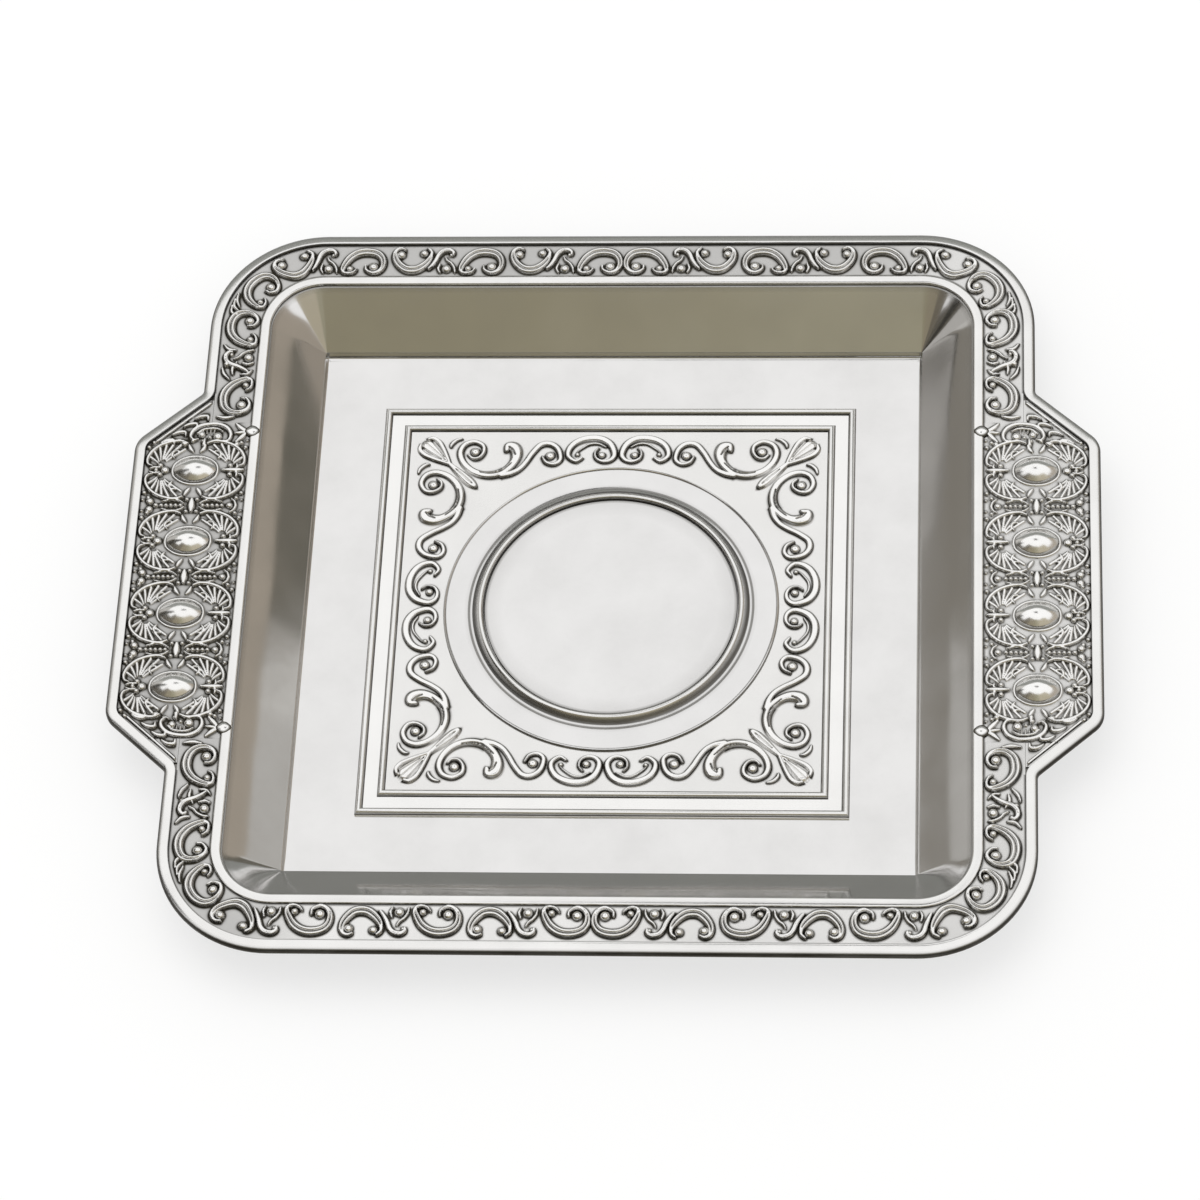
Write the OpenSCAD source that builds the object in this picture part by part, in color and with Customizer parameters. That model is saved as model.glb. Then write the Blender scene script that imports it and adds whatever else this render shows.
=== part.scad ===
// Square matzah tray: a pressed, plated dish with two handle ears, a scroll
// border round its rim, domed bosses on the ears and a framed plaque on its floor.
// The origin is the middle of the underside. X runs from ear to ear, Z is up.

/* [Dish] */
// Inside width of the square floor
floor_w = 190; // [175:1:220]
// Height of the rim above the floor
dish_depth = 16.5; // [12:0.5:24]
// How far each wall leans out between floor and rim
wall_run = 16.4; // [12:0.2:22]
// Thickness of the pressed sheet
sheet_t = 0.9; // [0.7:0.1:1.2]

/* [Rim] */
// Width of the flat rim, from the opening to its edge
rim_w = 19.4; // [18:0.2:23]
// Width of the plain wire round the opening
opening_wire_w = 3.2; // [2.6:0.1:4.4]
// Height of the plain wire round the opening
opening_wire_h = 1.3; // [0.8:0.1:1.8]
// Width of the wire along the outer edge
edge_wire_w = 3.6; // [3:0.1:5]
// Height of the wire along the outer edge
edge_wire_h = 1.7; // [1.2:0.1:2.4]

/* [Ears] */
// How far each ear reaches past the rim
ear_reach = 20; // [16:0.5:26]
// Length of an ear along its outer edge, before its corners are rounded
ear_tip_l = 101.6; // [94:0.2:112]
// Length of an ear where it leaves the rim
ear_root_l = 138.4; // [130:0.2:148]
// Radius of an ear's outer corners
ear_corner_r = 8; // [5:0.5:10]
// Fillet in the corner between ear and rim
ear_root_r = 2.5; // [1.5:0.5:4]

/* [Ornament] */
// Thickness of the stamped borders and panels
stamping_t = 0.6; // [0.5:0.1:0.9]
// Width of a scroll's rounded ridge
scroll_w = 2.2; // [1.8:0.1:2.6]
// Radius of the ball in a scroll's eye
eye_r = 1.7; // [1.6:0.05:2]
// Length of a domed boss
boss_l = 13.2; // [11:0.2:15]
// Width of a domed boss
boss_w = 9.2; // [7.6:0.2:10.4]
// Height of a domed boss
boss_h = 3.3; // [2.5:0.1:3.8]

/* [Plaque] */
// Outside width of the plaque's frame
plaque_w = 149.4; // [136:0.2:165]
// Width of one reed of the frame
reed_w = 2.8; // [2.2:0.1:3.4]
// Flat space between the two reeds
reed_gap = 3.6; // [2.4:0.1:5]
// Outside diameter of the medallion's ring
ring_d = 86; // [76:0.5:92]
// Width of the medallion's ring
ring_w = 3.6; // [2.6:0.1:4.6]
// Thickness of the medallion's step and of its disc
disc_t = 0.5; // [0.4:0.1:0.8]

/* [Fits] */
// Solder gap between a stamping and the wires beside it
seam = 0.1; // [0.05:0.01:0.2]
// Gap between the two border lengths that meet at mid side, and at the ears
butt_gap = 0.1; // [0.05:0.01:0.2]
// Setback of the opening wire from the mouth of the dish
wire_setback = 0.15; // [0.1:0.05:0.4]
// Gap between the medallion's disc and its ring
disc_gap = 0.15; // [0.1:0.05:0.3]

/* [Hidden] */
$fn = 48;

silver = [0.82, 0.82, 0.81];
bright = [0.92, 0.92, 0.91];
shade = [0.68, 0.68, 0.67];

// Heights, from the table up
floor_z = sheet_t;
rim_z = floor_z + dish_depth;
stamping_z = rim_z + stamping_t;
plaque_z = floor_z + stamping_t;
step_z = plaque_z + disc_t;

// Half widths, from the middle out
floor_half = floor_w / 2;
mouth_half = floor_half + wall_run;
rim_half = mouth_half + rim_w;
band_in = wall_run + opening_wire_w + wire_setback + seam;
band_out = wall_run + rim_w - edge_wire_w - seam;
band_w = band_out - band_in;
band_mid = (band_in + band_out) / 2;

// One quarter of the border: along a front or back side, round the corner, up to the ear
border_end = ear_root_l / 2 - 11.2;
run_side = floor_half - butt_gap / 2;
run_corner = band_mid * PI / 2;
run_ear = floor_half - border_end - butt_gap / 2;
border_run = ["in", "bud", "out", "in", "bud", "out", "in", "bud", "out", "in", "in", "bud", "in"];
bud_share = 0.52;
border_share = [for (m = border_run) m == "bud" ? bud_share : 1];
border_slot = (run_side + run_corner + run_ear) / total(border_share, len(border_share));
border_k = min(band_w / 12, border_slot / 15.4);

// One handle panel
panel_in = floor_half + band_in;
panel_out = rim_half + ear_reach - edge_wire_w - seam;
panel_mid = (panel_in + panel_out) / 2;
boss_count = 4;
boss_pitch = (2 * border_end - 10) / boss_count;

// The plaque's scroll field, and its scale against the drawn motif
field_half = plaque_w / 2 - 2 * reed_w - reed_gap;
field_k = field_half / 65.5;
step_r = 52 * field_k;

function unit(a) = [cos(a), sin(a)];
function total(v, n) = n == 0 ? 0 : v[n - 1] + total(v, n - 1);
function rest(v) = [for (i = [1:1:len(v) - 1]) v[i]];
function turn(u, v) = atan2(u.x * v.y - u.y * v.x, u * v);
function dir(a, b) = (b - a) / norm(b - a);
function left(u) = [-u.y, u.x];

// Points of one rounded corner, set in from the outline by d; a corner is [x, y, radius]
function corner_arc(a, p, b, r, d, steps) =
    let (
        u = dir(a, p),
        v = dir(p, b),
        bend = turn(u, v),
        side = sign(bend),
        centre = p + side * r * (left(u) + left(v)) / (1 + left(u) * left(v)),
        out = -side * left(u),
        start = atan2(out.y, out.x)
    )
    [for (k = [0:steps]) centre + (r - side * d) * unit(start + bend * k / steps)];

// The point of a sharp corner, set in by d
function mitre(a, p, b, d) =
    let (m = left(dir(a, p)), n = left(dir(p, b)))
    p + d * (m + n) / (1 + m * n);

function flat(c) = [c.x, c.y];

// A closed outline of rounded or sharp corners, set in by d
function outline(corners, d = 0) =
    let (n = len(corners))
    [for (i = [0:n - 1])
        let (
            a = flat(corners[(i + n - 1) % n]),
            p = flat(corners[i]),
            b = flat(corners[(i + 1) % n]),
            r = corners[i][2]
        )
        each r == 0 ? [mitre(a, p, b, d)] : corner_arc(a, p, b, r, d, r > 12 ? 10 : 5)];

function square_corners(half, r) = [[half, -half, r], [half, half, r], [-half, half, r], [-half, -half, r]];

function ear_corners(s) = [
    [s * rim_half, -s * ear_root_l / 2, ear_root_r],
    [s * (rim_half + ear_reach), -s * ear_tip_l / 2, ear_corner_r],
    [s * (rim_half + ear_reach), s * ear_tip_l / 2, ear_corner_r],
    [s * rim_half, s * ear_root_l / 2, ear_root_r]
];

rim_r = wall_run + rim_w;
rim_corners = concat(
    [[rim_half, -rim_half, rim_r]], ear_corners(1),
    [[rim_half, rim_half, rim_r], [-rim_half, rim_half, rim_r]], ear_corners(-1),
    [[-rim_half, -rim_half, rim_r]]
);

// A low arch from x to x + w, standing on z, as [inset, height] points
function arch(x, w, h, z, steps = 6) =
    [for (k = [0:steps]) [x + w / 2 * (1 - cos(180 * k / steps)), z + h * sin(180 * k / steps)]];

// A profile of [inset, height] points carried all the way round an outline
module moulding(corners, profile) {
    m = len(profile);
    n = len(outline(corners));
    points = [for (q = profile, p = outline(corners, q[0])) [p.x, p.y, q[1]]];
    faces = [for (j = [0:m - 1], i = [0:n - 1])
        let (a = j * n, b = (j + 1) % m * n, k = (i + 1) % n)
        each [[a + i, b + i, b + k], [a + i, b + k, a + k]]];
    polyhedron(points, faces, convexity = 6);
}

ridge_lap = 0.35;
eye_gap = 0.2;

// Rounded ridge in section, sunk a little into what it stands on
module ridge_section(w) {
    intersection() {
        circle(d = w);
        translate([-w, -0.3]) square([2 * w, w + 0.3]);
    }
}

// A ridge along a chain of arcs: each is [radius, sweep, width], and a positive sweep turns left.
// It starts lap short of its first point, inside the ridge that it grows from.
module ridge(at, heading, arcs, lap = 0) {
    if (len(arcs) > 0) {
        r = arcs[0][0];
        sweep = arcs[0][1];
        side = sign(sweep);
        centre = at + side * r * unit(heading + 90);
        back = side * lap / r * 180 / PI;
        start = heading - 90 * side;
        translate([centre.x, centre.y, 0])
            rotate(min(start - back, start + sweep))
            rotate_extrude(angle = abs(sweep + back))
            translate([r, 0]) ridge_section(arcs[0][2]);
        ridge(centre + r * unit(start + sweep), heading + sweep, rest(arcs), ridge_lap);
    }
}

// A ball sunk to its seat, flat underneath
module eye(at, r = eye_r) {
    translate([at.x, at.y, -0.3]) intersection() {
        sphere(r);
        translate([-r, -r, 0]) cube([2 * r, 2 * r, r]);
    }
}

// A C-scroll that opens towards +Y, with a curl and a ball at each end
module c_scroll(k) {
    r = 6.1 * k;
    curl = 2.6 * k;
    curl_w = scroll_w * 0.6;
    lift = 80;
    end = r * unit(lift - 90);
    hub = (r - curl) * unit(lift - 90);
    translate([0, 1.4 * k, 0]) {
        ridge([-end.x, end.y], -lift, [[r, 2 * lift, scroll_w]]);
        for (s = [0, 1]) mirror([s, 0, 0]) {
            ridge(end, lift, [[curl, 160, curl_w]], ridge_lap);
            eye(hub, curl - curl_w / 2 - eye_gap);
        }
    }
}

// The small ball and hook between two scrolls
module bud(k) {
    eye([-0.6, 3.6] * k, eye_r * 1.1);
    ridge([-2.4, -1.6] * k, -80, [[2.7 * k, 200, scroll_w * 0.8]]);
    eye([0.1, -1.9] * k, eye_r * 0.9);
}

// A pointed petal lying along +X from the origin
module petal(l, w, h) {
    spindle_r = (l * l / 4 + h * h) / (2 * h);
    girth = (w * w / 4 + h * h) / (2 * h);
    translate([l / 2, 0, 0]) intersection() {
        translate([0, 0, h - girth]) rotate([0, 90, 0]) rotate_extrude() intersection() {
            translate([girth - spindle_r, 0]) circle(spindle_r);
            translate([0, -spindle_r]) square([girth, 2 * spindle_r]);
        }
        translate([-l, -w, -0.3]) cube([2 * l, 2 * w, h + 1]);
    }
}

// A frame on the border's middle line, s from the side's middle; +Y points to the dish
module on_border(s) {
    arc = s - run_side;
    a = min(max(arc / band_mid * 180 / PI, 0), 90);
    over = max(arc - run_corner, 0);
    translate([min(s + butt_gap / 2, floor_half), -floor_half + over, 0])
        translate([band_mid * sin(a), -band_mid * cos(a), 0])
        rotate(a) children();
}

module border_strip() {
    bends = [for (k = [0:10]) k * 9];
    polygon(concat(
        [[butt_gap / 2, -floor_half - band_in]],
        [for (a = bends) [floor_half, -floor_half] + band_in * [sin(a), -cos(a)]],
        [for (x = [band_in, band_out]) [floor_half + x, -border_end - butt_gap / 2]],
        [for (a = bends) [floor_half, -floor_half] + band_out * [cos(a), -sin(a)]],
        [[butt_gap / 2, -floor_half - band_out]]
    ));
}

// The front right quarter of the border
module border_quarter() {
    color(silver) translate([0, 0, rim_z]) {
        linear_extrude(stamping_t) border_strip();
        translate([0, 0, stamping_t]) for (i = [0:len(border_run) - 1])
            on_border(border_slot * (total(border_share, i) + border_share[i] / 2)) {
                if (border_run[i] == "in") c_scroll(border_k);
                if (border_run[i] == "out") mirror([0, 1, 0]) c_scroll(border_k);
                if (border_run[i] == "bud") bud(border_k);
            }
    }
}

module dish_solid(half, run, h) {
    wedge = [[0, 0], [run, h], [0, h]];
    translate([-half, -half, 0]) cube([2 * half, 2 * half, h]);
    for (a = [0:90:270]) rotate(a) {
        translate([half, half, 0]) rotate([90, 0, 0]) linear_extrude(2 * half) polygon(wedge);
        translate([half, half, 0]) rotate_extrude(angle = 90) polygon(wedge);
    }
}

module dish_pan() {
    lean = atan2(dish_depth, wall_run);
    under_half = floor_half + sheet_t * tan(lean / 2);
    over = 3;
    grow = wall_run / dish_depth;
    color(silver) difference() {
        union() {
            dish_solid(under_half, rim_z * grow, rim_z);
            translate([0, 0, rim_z - sheet_t]) linear_extrude(sheet_t) polygon(outline(rim_corners));
        }
        translate([0, 0, floor_z]) dish_solid(floor_half, wall_run + over * grow, dish_depth + over);
    }
}

module opening_wire() {
    color(bright) moulding(
        square_corners(mouth_half, wall_run),
        arch(-wire_setback - opening_wire_w, opening_wire_w, opening_wire_h, rim_z)
    );
}

module edge_wire() {
    color(bright) moulding(rim_corners, arch(0, edge_wire_w, edge_wire_h, rim_z));
}

module border_front_right() { border_quarter(); }
module border_front_left() { mirror([1, 0, 0]) border_quarter(); }
module border_back_right() { mirror([0, 1, 0]) border_quarter(); }
module border_back_left() { rotate(180) border_quarter(); }

// Outline of a handle panel: between the two border ends, out to the ear's wire
module panel_plan() {
    inset = edge_wire_w + seam;
    ear = [for (i = [1:4]) rim_corners[i]];
    tip = [for (i = [1, 2]) each corner_arc(
        flat(ear[i - 1]), flat(ear[i]), flat(ear[i + 1]), ear[i][2], inset, 5)];
    root = [for (i = [0, 3]) corner_arc(
        flat(i == 0 ? rim_corners[0] : ear[2]), flat(ear[i]),
        flat(i == 0 ? ear[1] : rim_corners[5]), ear[i][2], inset, 5)];
    end = border_end - butt_gap / 2;
    polygon(concat(
        [[panel_in, end], [panel_in, -end], [floor_half + band_out, -end]],
        root[0], tip, root[1], [[floor_half + band_out, end]]
    ));
}

// Half of a pointed oval ring, above the X axis, left out near its middle over gap degrees
module oval_ridge(half_l, half_w, w, gap) {
    r = (half_l * half_l + half_w * half_w) / (2 * half_w);
    reach = asin(half_l / r);
    translate([0, half_w - r, 0]) {
        if (gap == 0)
            rotate(90 - reach) rotate_extrude(angle = 2 * reach) translate([r, 0]) ridge_section(w);
        else for (s = [0, 1]) mirror([s, 0, 0])
            rotate(90 - reach) rotate_extrude(angle = reach - gap) translate([r, 0]) ridge_section(w);
    }
}

boss_collar_w = 1.5;
boss_collar_gap = 0.45;
collar_half_l = boss_l / 2 + boss_collar_gap + boss_collar_w / 2;
collar_half_w = boss_w / 2 + boss_collar_gap + boss_collar_w / 2;
lobe_half_l = (panel_out - panel_in) / 2 - scroll_w / 2 - 0.3;
lobe_half_w = boss_pitch / 2 - scroll_w - 0.8;

// The collar of one boss and the four lobes round it
module cartouche() {
    for (s = [0, 1]) mirror([0, s, 0]) {
        oval_ridge(collar_half_l, collar_half_w, boss_collar_w, 0);
        oval_ridge(lobe_half_l, lobe_half_w, scroll_w, 9);
    }
    for (s = [-1, 1]) {
        eye([s * (collar_half_l + 1.6), 0], eye_r * 0.8);
        eye([s * lobe_half_l * 0.62, lobe_half_w * 0.52], eye_r * 0.7);
        eye([s * lobe_half_l * 0.62, -lobe_half_w * 0.52], eye_r * 0.7);
    }
}

module between_cartouches() {
    eye([0, 0]);
    for (s = [-1, 1]) {
        eye([s * lobe_half_l * 0.8, 0], eye_r * 0.95);
        for (i = [1:4]) eye([s * (2 + 1.9 * i), 0], 0.8);
    }
}

function boss_y(i) = (i - (boss_count + 1) / 2) * boss_pitch;

module handle_panel() {
    color(silver) translate([0, 0, rim_z]) {
        linear_extrude(stamping_t) panel_plan();
        translate([panel_mid, 0, stamping_t]) {
            for (i = [1:boss_count]) translate([0, boss_y(i), 0]) cartouche();
            for (i = [1:boss_count - 1]) translate([0, boss_y(i) + boss_pitch / 2, 0]) between_cartouches();
            for (s = [0, 1]) mirror([0, s, 0])
                translate([-3.9, -border_end + 5.6, 0]) c_scroll(border_k * 0.85);
        }
    }
}

module handle_panel_right() { handle_panel(); }
module handle_panel_left() { mirror([1, 0, 0]) handle_panel(); }

// A domed boss lies inside its collar, on the panel; s is 1 on the right ear and -1 on the left
module boss(s, i) {
    color(bright) translate([s * panel_mid, boss_y(i), stamping_z]) intersection() {
        translate([-boss_l / 2, 0, 0]) petal(boss_l, boss_w, boss_h);
        translate([-boss_l, -boss_w, 0]) cube([2 * boss_l, 2 * boss_w, 2 * boss_h]);
    }
}

// One eighth of the plaque's ornament: the right half of the front side
module plaque_motif() {
    translate([8.6, -58.6, 0] * field_k) c_scroll(field_k * 1.06);
    ridge([30.8, -55.9] * field_k, 235, [
        [12 * field_k, -45, scroll_w],
        [4.3 * field_k, -90, scroll_w * 0.8],
        [3 * field_k, -190, scroll_w * 0.62]
    ]);
    eye([21, -56.8] * field_k);
    ridge([32.9, -60.2] * field_k, 110, [
        [8.6 * field_k, -200, scroll_w * 1.1],
        [4.2 * field_k, -200, scroll_w * 0.9]
    ]);
    eye([45.4, -57.3] * field_k, eye_r * 1.2);
    translate([31.4, -59.4, 0] * field_k) rotate(-22) petal(6 * field_k, 3.2, 1.3);
}

// The fan of petals on each corner's diagonal
module palmette() {
    translate([53.4, -53.4, 0] * field_k) rotate(-45) {
        eye([0, 0], eye_r * 1.1);
        for (a = [-52, 0, 52]) rotate(a) translate([1, 0, 0]) petal(a == 0 ? 9.5 : 7, 3.4, 1.4);
        rotate(180) translate([2, 0, 0]) petal(8, 2.6, 1.2);
    }
}

module floor_plaque() {
    color(silver) translate([0, 0, floor_z]) {
        translate([-plaque_w / 2, -plaque_w / 2, 0]) cube([plaque_w, plaque_w, stamping_t]);
        translate([0, 0, stamping_t]) for (a = [0:90:270]) rotate(a) {
            plaque_motif();
            mirror([1, 0, 0]) plaque_motif();
            palmette();
        }
    }
}

module frame(half) {
    color(bright) moulding(square_corners(half, 0), arch(0, reed_w, reed_w / 2, plaque_z));
}

module plaque_outer_frame() { frame(plaque_w / 2); }
module plaque_inner_frame() { frame(field_half + reed_w); }

module medallion_step() {
    color(shade) translate([0, 0, plaque_z]) cylinder(r = step_r, h = disc_t);
}

module medallion_ring() {
    color(bright) translate([0, 0, step_z]) rotate_extrude() translate([(ring_d - ring_w) / 2, 0])
        intersection() {
            circle(d = ring_w);
            translate([-ring_w, 0]) square([2 * ring_w, ring_w]);
        }
}

module medallion_disc() {
    color(silver) translate([0, 0, step_z]) cylinder(r = ring_d / 2 - ring_w - disc_gap, h = disc_t);
}

dish_pan();
opening_wire();
edge_wire();
border_front_right();
border_front_left();
border_back_right();
border_back_left();
handle_panel_right();
handle_panel_left();
boss(1, 1);  // boss_right_1
boss(1, 2);  // boss_right_2
boss(1, 3);  // boss_right_3
boss(1, 4);  // boss_right_4
boss(-1, 1);  // boss_left_1
boss(-1, 2);  // boss_left_2
boss(-1, 3);  // boss_left_3
boss(-1, 4);  // boss_left_4
floor_plaque();
plaque_outer_frame();
plaque_inner_frame();
medallion_step();
medallion_ring();
medallion_disc();
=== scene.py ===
import math

import bpy
import numpy as np
from mathutils import Matrix, Vector


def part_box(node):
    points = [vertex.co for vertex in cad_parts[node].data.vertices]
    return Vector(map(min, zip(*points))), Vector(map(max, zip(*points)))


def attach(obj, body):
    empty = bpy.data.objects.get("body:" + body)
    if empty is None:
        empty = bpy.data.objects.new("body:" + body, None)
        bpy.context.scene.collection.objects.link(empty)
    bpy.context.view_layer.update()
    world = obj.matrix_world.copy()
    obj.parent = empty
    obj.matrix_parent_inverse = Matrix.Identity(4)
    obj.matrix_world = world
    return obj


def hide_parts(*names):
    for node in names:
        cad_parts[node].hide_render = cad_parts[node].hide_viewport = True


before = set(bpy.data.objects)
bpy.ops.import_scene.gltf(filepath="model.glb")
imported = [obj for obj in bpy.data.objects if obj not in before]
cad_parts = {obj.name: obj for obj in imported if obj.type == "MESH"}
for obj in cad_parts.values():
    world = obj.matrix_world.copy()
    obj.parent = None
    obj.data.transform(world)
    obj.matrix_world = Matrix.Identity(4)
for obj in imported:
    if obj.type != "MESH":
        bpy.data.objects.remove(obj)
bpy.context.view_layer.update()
mm = 0.001
print("frame:", len(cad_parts), "nodes")

# sizes in mm that several pieces share; the rest is read from the frame
tray = dict(
    floorHalf=95.0,
    wallRun=16.4,
    sheet=0.9,
    earTip=50.8,        # half length of an ear at its outer edge
    earRoot=69.2,       # half length of an ear where it leaves the rim
    earCornerR=8.0,
    earRootR=2.5,
    seam=0.1,           # solder gap beside the wires
)


def boxMm(node):
    low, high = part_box(node)
    return [v / mm for v in low], [v / mm for v in high]


panHigh = boxMm("dish_pan")[1]
tray["earHalf"], tray["rimHalf"], tray["rimZ"] = panHigh
tray["mouthHalf"] = tray["floorHalf"] + tray["wallRun"]
tray["rimR"] = tray["rimHalf"] - tray["floorHalf"]


# meshes

def makeObject(name, verts, faces, material, smoothAngle=None):
    mesh = bpy.data.meshes.new(name)
    mesh.from_pydata((np.asarray(verts, float) * mm).tolist(), [], faces)
    mesh.update()
    mesh.shade_smooth()
    if smoothAngle:
        mesh.set_sharp_from_angle(angle=math.radians(smoothAngle))
    mesh.materials.append(material)
    obj = bpy.data.objects.new(name, mesh)
    bpy.context.scene.collection.objects.link(obj)
    return obj


# how dark each point is, from 0 to 1: tarnish, together with painted shade and painted dark reflections on
# slopes, at feet and along edges
def setTarnishAndShade(obj, values):
    layer = obj.data.attributes.new("tarnishAndShade", "FLOAT", "POINT")
    layer.data.foreach_set("value", np.asarray(values, np.float32))


def addPiece(obj, nodes):
    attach(obj, "root")
    if nodes:
        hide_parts(*nodes)


# quads between rows of points; each row is a closed loop of the same length
def skinLoops(loops, closed=False):
    rows, cols = len(loops), len(loops[0])
    faces = []
    for j in range(rows if closed else rows - 1):
        a, b = j * cols, (j + 1) % rows * cols
        for i in range(cols):
            k = (i + 1) % cols
            faces.append((a + i, a + k, b + k, b + i))
    return faces


def unit(v):
    v = np.asarray(v, float)
    return v / np.hypot(*v)


# points round a loop of corners (x, y, radius), set in from the outline
def roundedLoop(corners, inset, steps):
    points = []
    count = len(corners)
    for i, (x, y, r) in enumerate(corners):
        here = np.array((x, y))
        u = unit(here - np.array(corners[i - 1][:2]))
        v = unit(np.array(corners[(i + 1) % count][:2]) - here)
        m, n = np.array((-u[1], u[0])), np.array((-v[1], v[0]))
        mitre = (m + n) / (1 + m @ n)
        if r == 0:
            points.append(here + inset * mitre)
            continue
        bend = math.atan2(u[0] * v[1] - u[1] * v[0], u @ v)
        side = math.copysign(1, bend)
        centre = here + side * r * mitre
        start = math.atan2(-side * m[1], -side * m[0])
        for k in range(steps + 1):
            a = start + bend * k / steps
            points.append(centre + (r - side * inset) * np.array((math.cos(a), math.sin(a))))
    return np.array(points)


def squareCorners(half, r):
    return [(half, -half, r), (half, half, r), (-half, half, r), (-half, -half, r)]


def rimCorners():
    t = tray
    right = [
        (t["rimHalf"], -t["earRoot"], t["earRootR"]),
        (t["earHalf"], -t["earTip"], t["earCornerR"]),
        (t["earHalf"], t["earTip"], t["earCornerR"]),
        (t["rimHalf"], t["earRoot"], t["earRootR"]),
    ]
    half, r = t["rimHalf"], t["rimR"]
    left = [(-x, -y, c) for x, y, c in right]
    return [(half, -half, r)] + right + [(half, half, r), (-half, half, r)] + left + [(-half, -half, r)]


# a moulding: (inset, height) points carried round a loop of corners; the dark value (tarnish and painted
# shade) has one entry for each point
def moulding(name, corners, profile, tarnishAndShade, material, steps=1, smoothAngle=None):
    loops = []
    for inset, z in profile:
        loop = roundedLoop(corners, inset, steps)
        loops.append(np.column_stack((loop, np.full(len(loop), z))))
    obj = makeObject(name, np.vstack(loops), skinLoops(loops, closed=True), material, smoothAngle)
    setTarnishAndShade(obj, np.repeat(tarnishAndShade, len(loops[0])))
    return obj


# a body turned round Z from (radius, height) points; its two ends get caps, or join up where it is closed
def lathe(name, profile, tarnishAndShade, material, steps, closed=False, smoothAngle=35):
    turn = np.arange(steps) / steps * 2 * math.pi
    loops = [np.column_stack((r * np.cos(turn), r * np.sin(turn), np.full(steps, z))) for r, z in profile]
    faces = skinLoops(loops, closed)
    if not closed:
        last = (len(loops) - 1) * steps
        faces += [tuple(reversed(range(steps))), tuple(range(last, last + steps))]
    obj = makeObject(name, np.vstack(loops), faces, material, smoothAngle)
    setTarnishAndShade(obj, np.repeat(tarnishAndShade, steps))
    return obj


# relief: strokes, grooves and balls are laid into a height field

reliefSet = dict(
    pathStep=0.12,      # mm between the points of a stroke's path
    ridgeShoulder=0.55, ridgeCrown=0.14,    # share of the half width that slopes, and fall of the top
    ribbonShoulder=0.5,
    fluteWidth=0.16, fluteDepth=0.6,        # a flute along a ribbon, as shares of its half width and height
    fluteFrom=0.85, fluteRange=0.4,         # half width in mm where it begins, and how much more deepens it
    groups=dict(main=1.0, inner=0.72, fine=0.5),    # share of the full height that each group of strokes gets
    groove=0.45,        # depth of a groove as a share of that height
    ball=1.1, ballR=1.15,   # most that a ball rises, as a share of that height and of its radius
    batch=6000,         # points measured at a time
)
# where tarnish and painted shade lie on relief: heights and reaches in mm, the rest as shares
tarnishAndShadeSet = dict(
    slopeFrom=0.55, slopeRange=1.1,     # the steepness where painted shade begins
    hollowReach=0.85, hollowFrom=0.06, hollowRange=0.27,
    rubbedAt=0.85,                      # above this share of the height a cloth keeps the metal clean
    rubbedHollow=0.4,                   # how far rubbing reaches into a hollow
    nearReach=1.5, nearFull=0.32,       # what counts as close to the ridges
    groundFar=0.75, groundNear=0.3, groundShare=0.9, groundTop=0.5,
    wireReach=1.0, wireShade=0.8,        # painted shade beside a wire
)


# a smooth line through points of (x, y, value)
def smoothPath(points, step):
    p = np.asarray(points, float)
    p = np.vstack((2 * p[0] - p[1], p, 2 * p[-1] - p[-2]))
    out = []
    for i in range(1, len(p) - 2):
        n = max(2, int(np.hypot(*(p[i + 1] - p[i])[:2]) / step))
        t = (np.arange(n) / n)[:, None]
        a, b, c, d = p[i - 1], p[i], p[i + 1], p[i + 2]
        out.append(0.5 * (2 * b + (c - a) * t + (2 * a - 5 * b + 4 * c - d) * t**2
                          + (3 * b - a - 3 * c + d) * t**3))
    return np.vstack(out + [p[-2:-1]])


def smoothStep(t):
    t = np.clip(t, 0, 1)
    return t * t * (3 - 2 * t)


# a ridge with a low crown and steep shoulders, the same at any width
def ridgeShape(t, width):
    s = reliefSet
    return smoothStep((1 - t) / s["ridgeShoulder"]) * (1 - s["ridgeCrown"] * np.clip(t, 0, 1) ** 2)


# a broad ribbon; where it is wide, a flute along the middle leaves two ribs
def ribbonShape(t, width):
    s = reliefSet
    flute = np.exp(-((t / s["fluteWidth"]) ** 2)) * smoothStep((width - s["fluteFrom"]) / s["fluteRange"])
    return smoothStep((1 - t) / s["ribbonShoulder"]) * (1 - s["fluteDepth"] * flute)


# the points near a stroke, how far out each is as a share of the half width there, and that half width
def strokeShare(x, y, points):
    path = smoothPath(points, reliefSet["pathStep"])
    reach = path[:, 2].max()
    low, high = path[:, :2].min(0) - reach, path[:, :2].max(0) + reach
    inside = np.nonzero((x > low[0]) & (x < high[0]) & (y > low[1]) & (y < high[1]))
    px, py = x[inside], y[inside]
    best, width = np.zeros(len(px)), np.zeros(len(px))
    batch = reliefSet["batch"]
    for first in range(0, len(px), batch):
        cut = slice(first, first + batch)
        gap = np.hypot(px[cut, None] - path[None, :, 0], py[cut, None] - path[None, :, 1]) / path[None, :, 2]
        near = gap.argmin(1)
        best[cut] = gap[np.arange(len(near)), near]
        width[cut] = path[near, 2]
    return inside, best, width


def layStroke(field, x, y, points, height, shape):
    inside, share, width = strokeShare(x, y, points)
    field[inside] = np.maximum(field[inside], height * shape(share, width))


def cutGroove(field, x, y, points, depth):
    inside, share, width = strokeShare(x, y, points)
    field[inside] = np.maximum(field[inside] - depth * ridgeShape(share, width), 0)


def layBall(field, x, y, at, r, height):
    gap = np.hypot(x - at[0], y - at[1]) / r
    near = gap < 1
    field[near] = np.maximum(field[near], height * np.sqrt(1 - gap[near] ** 2))


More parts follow.
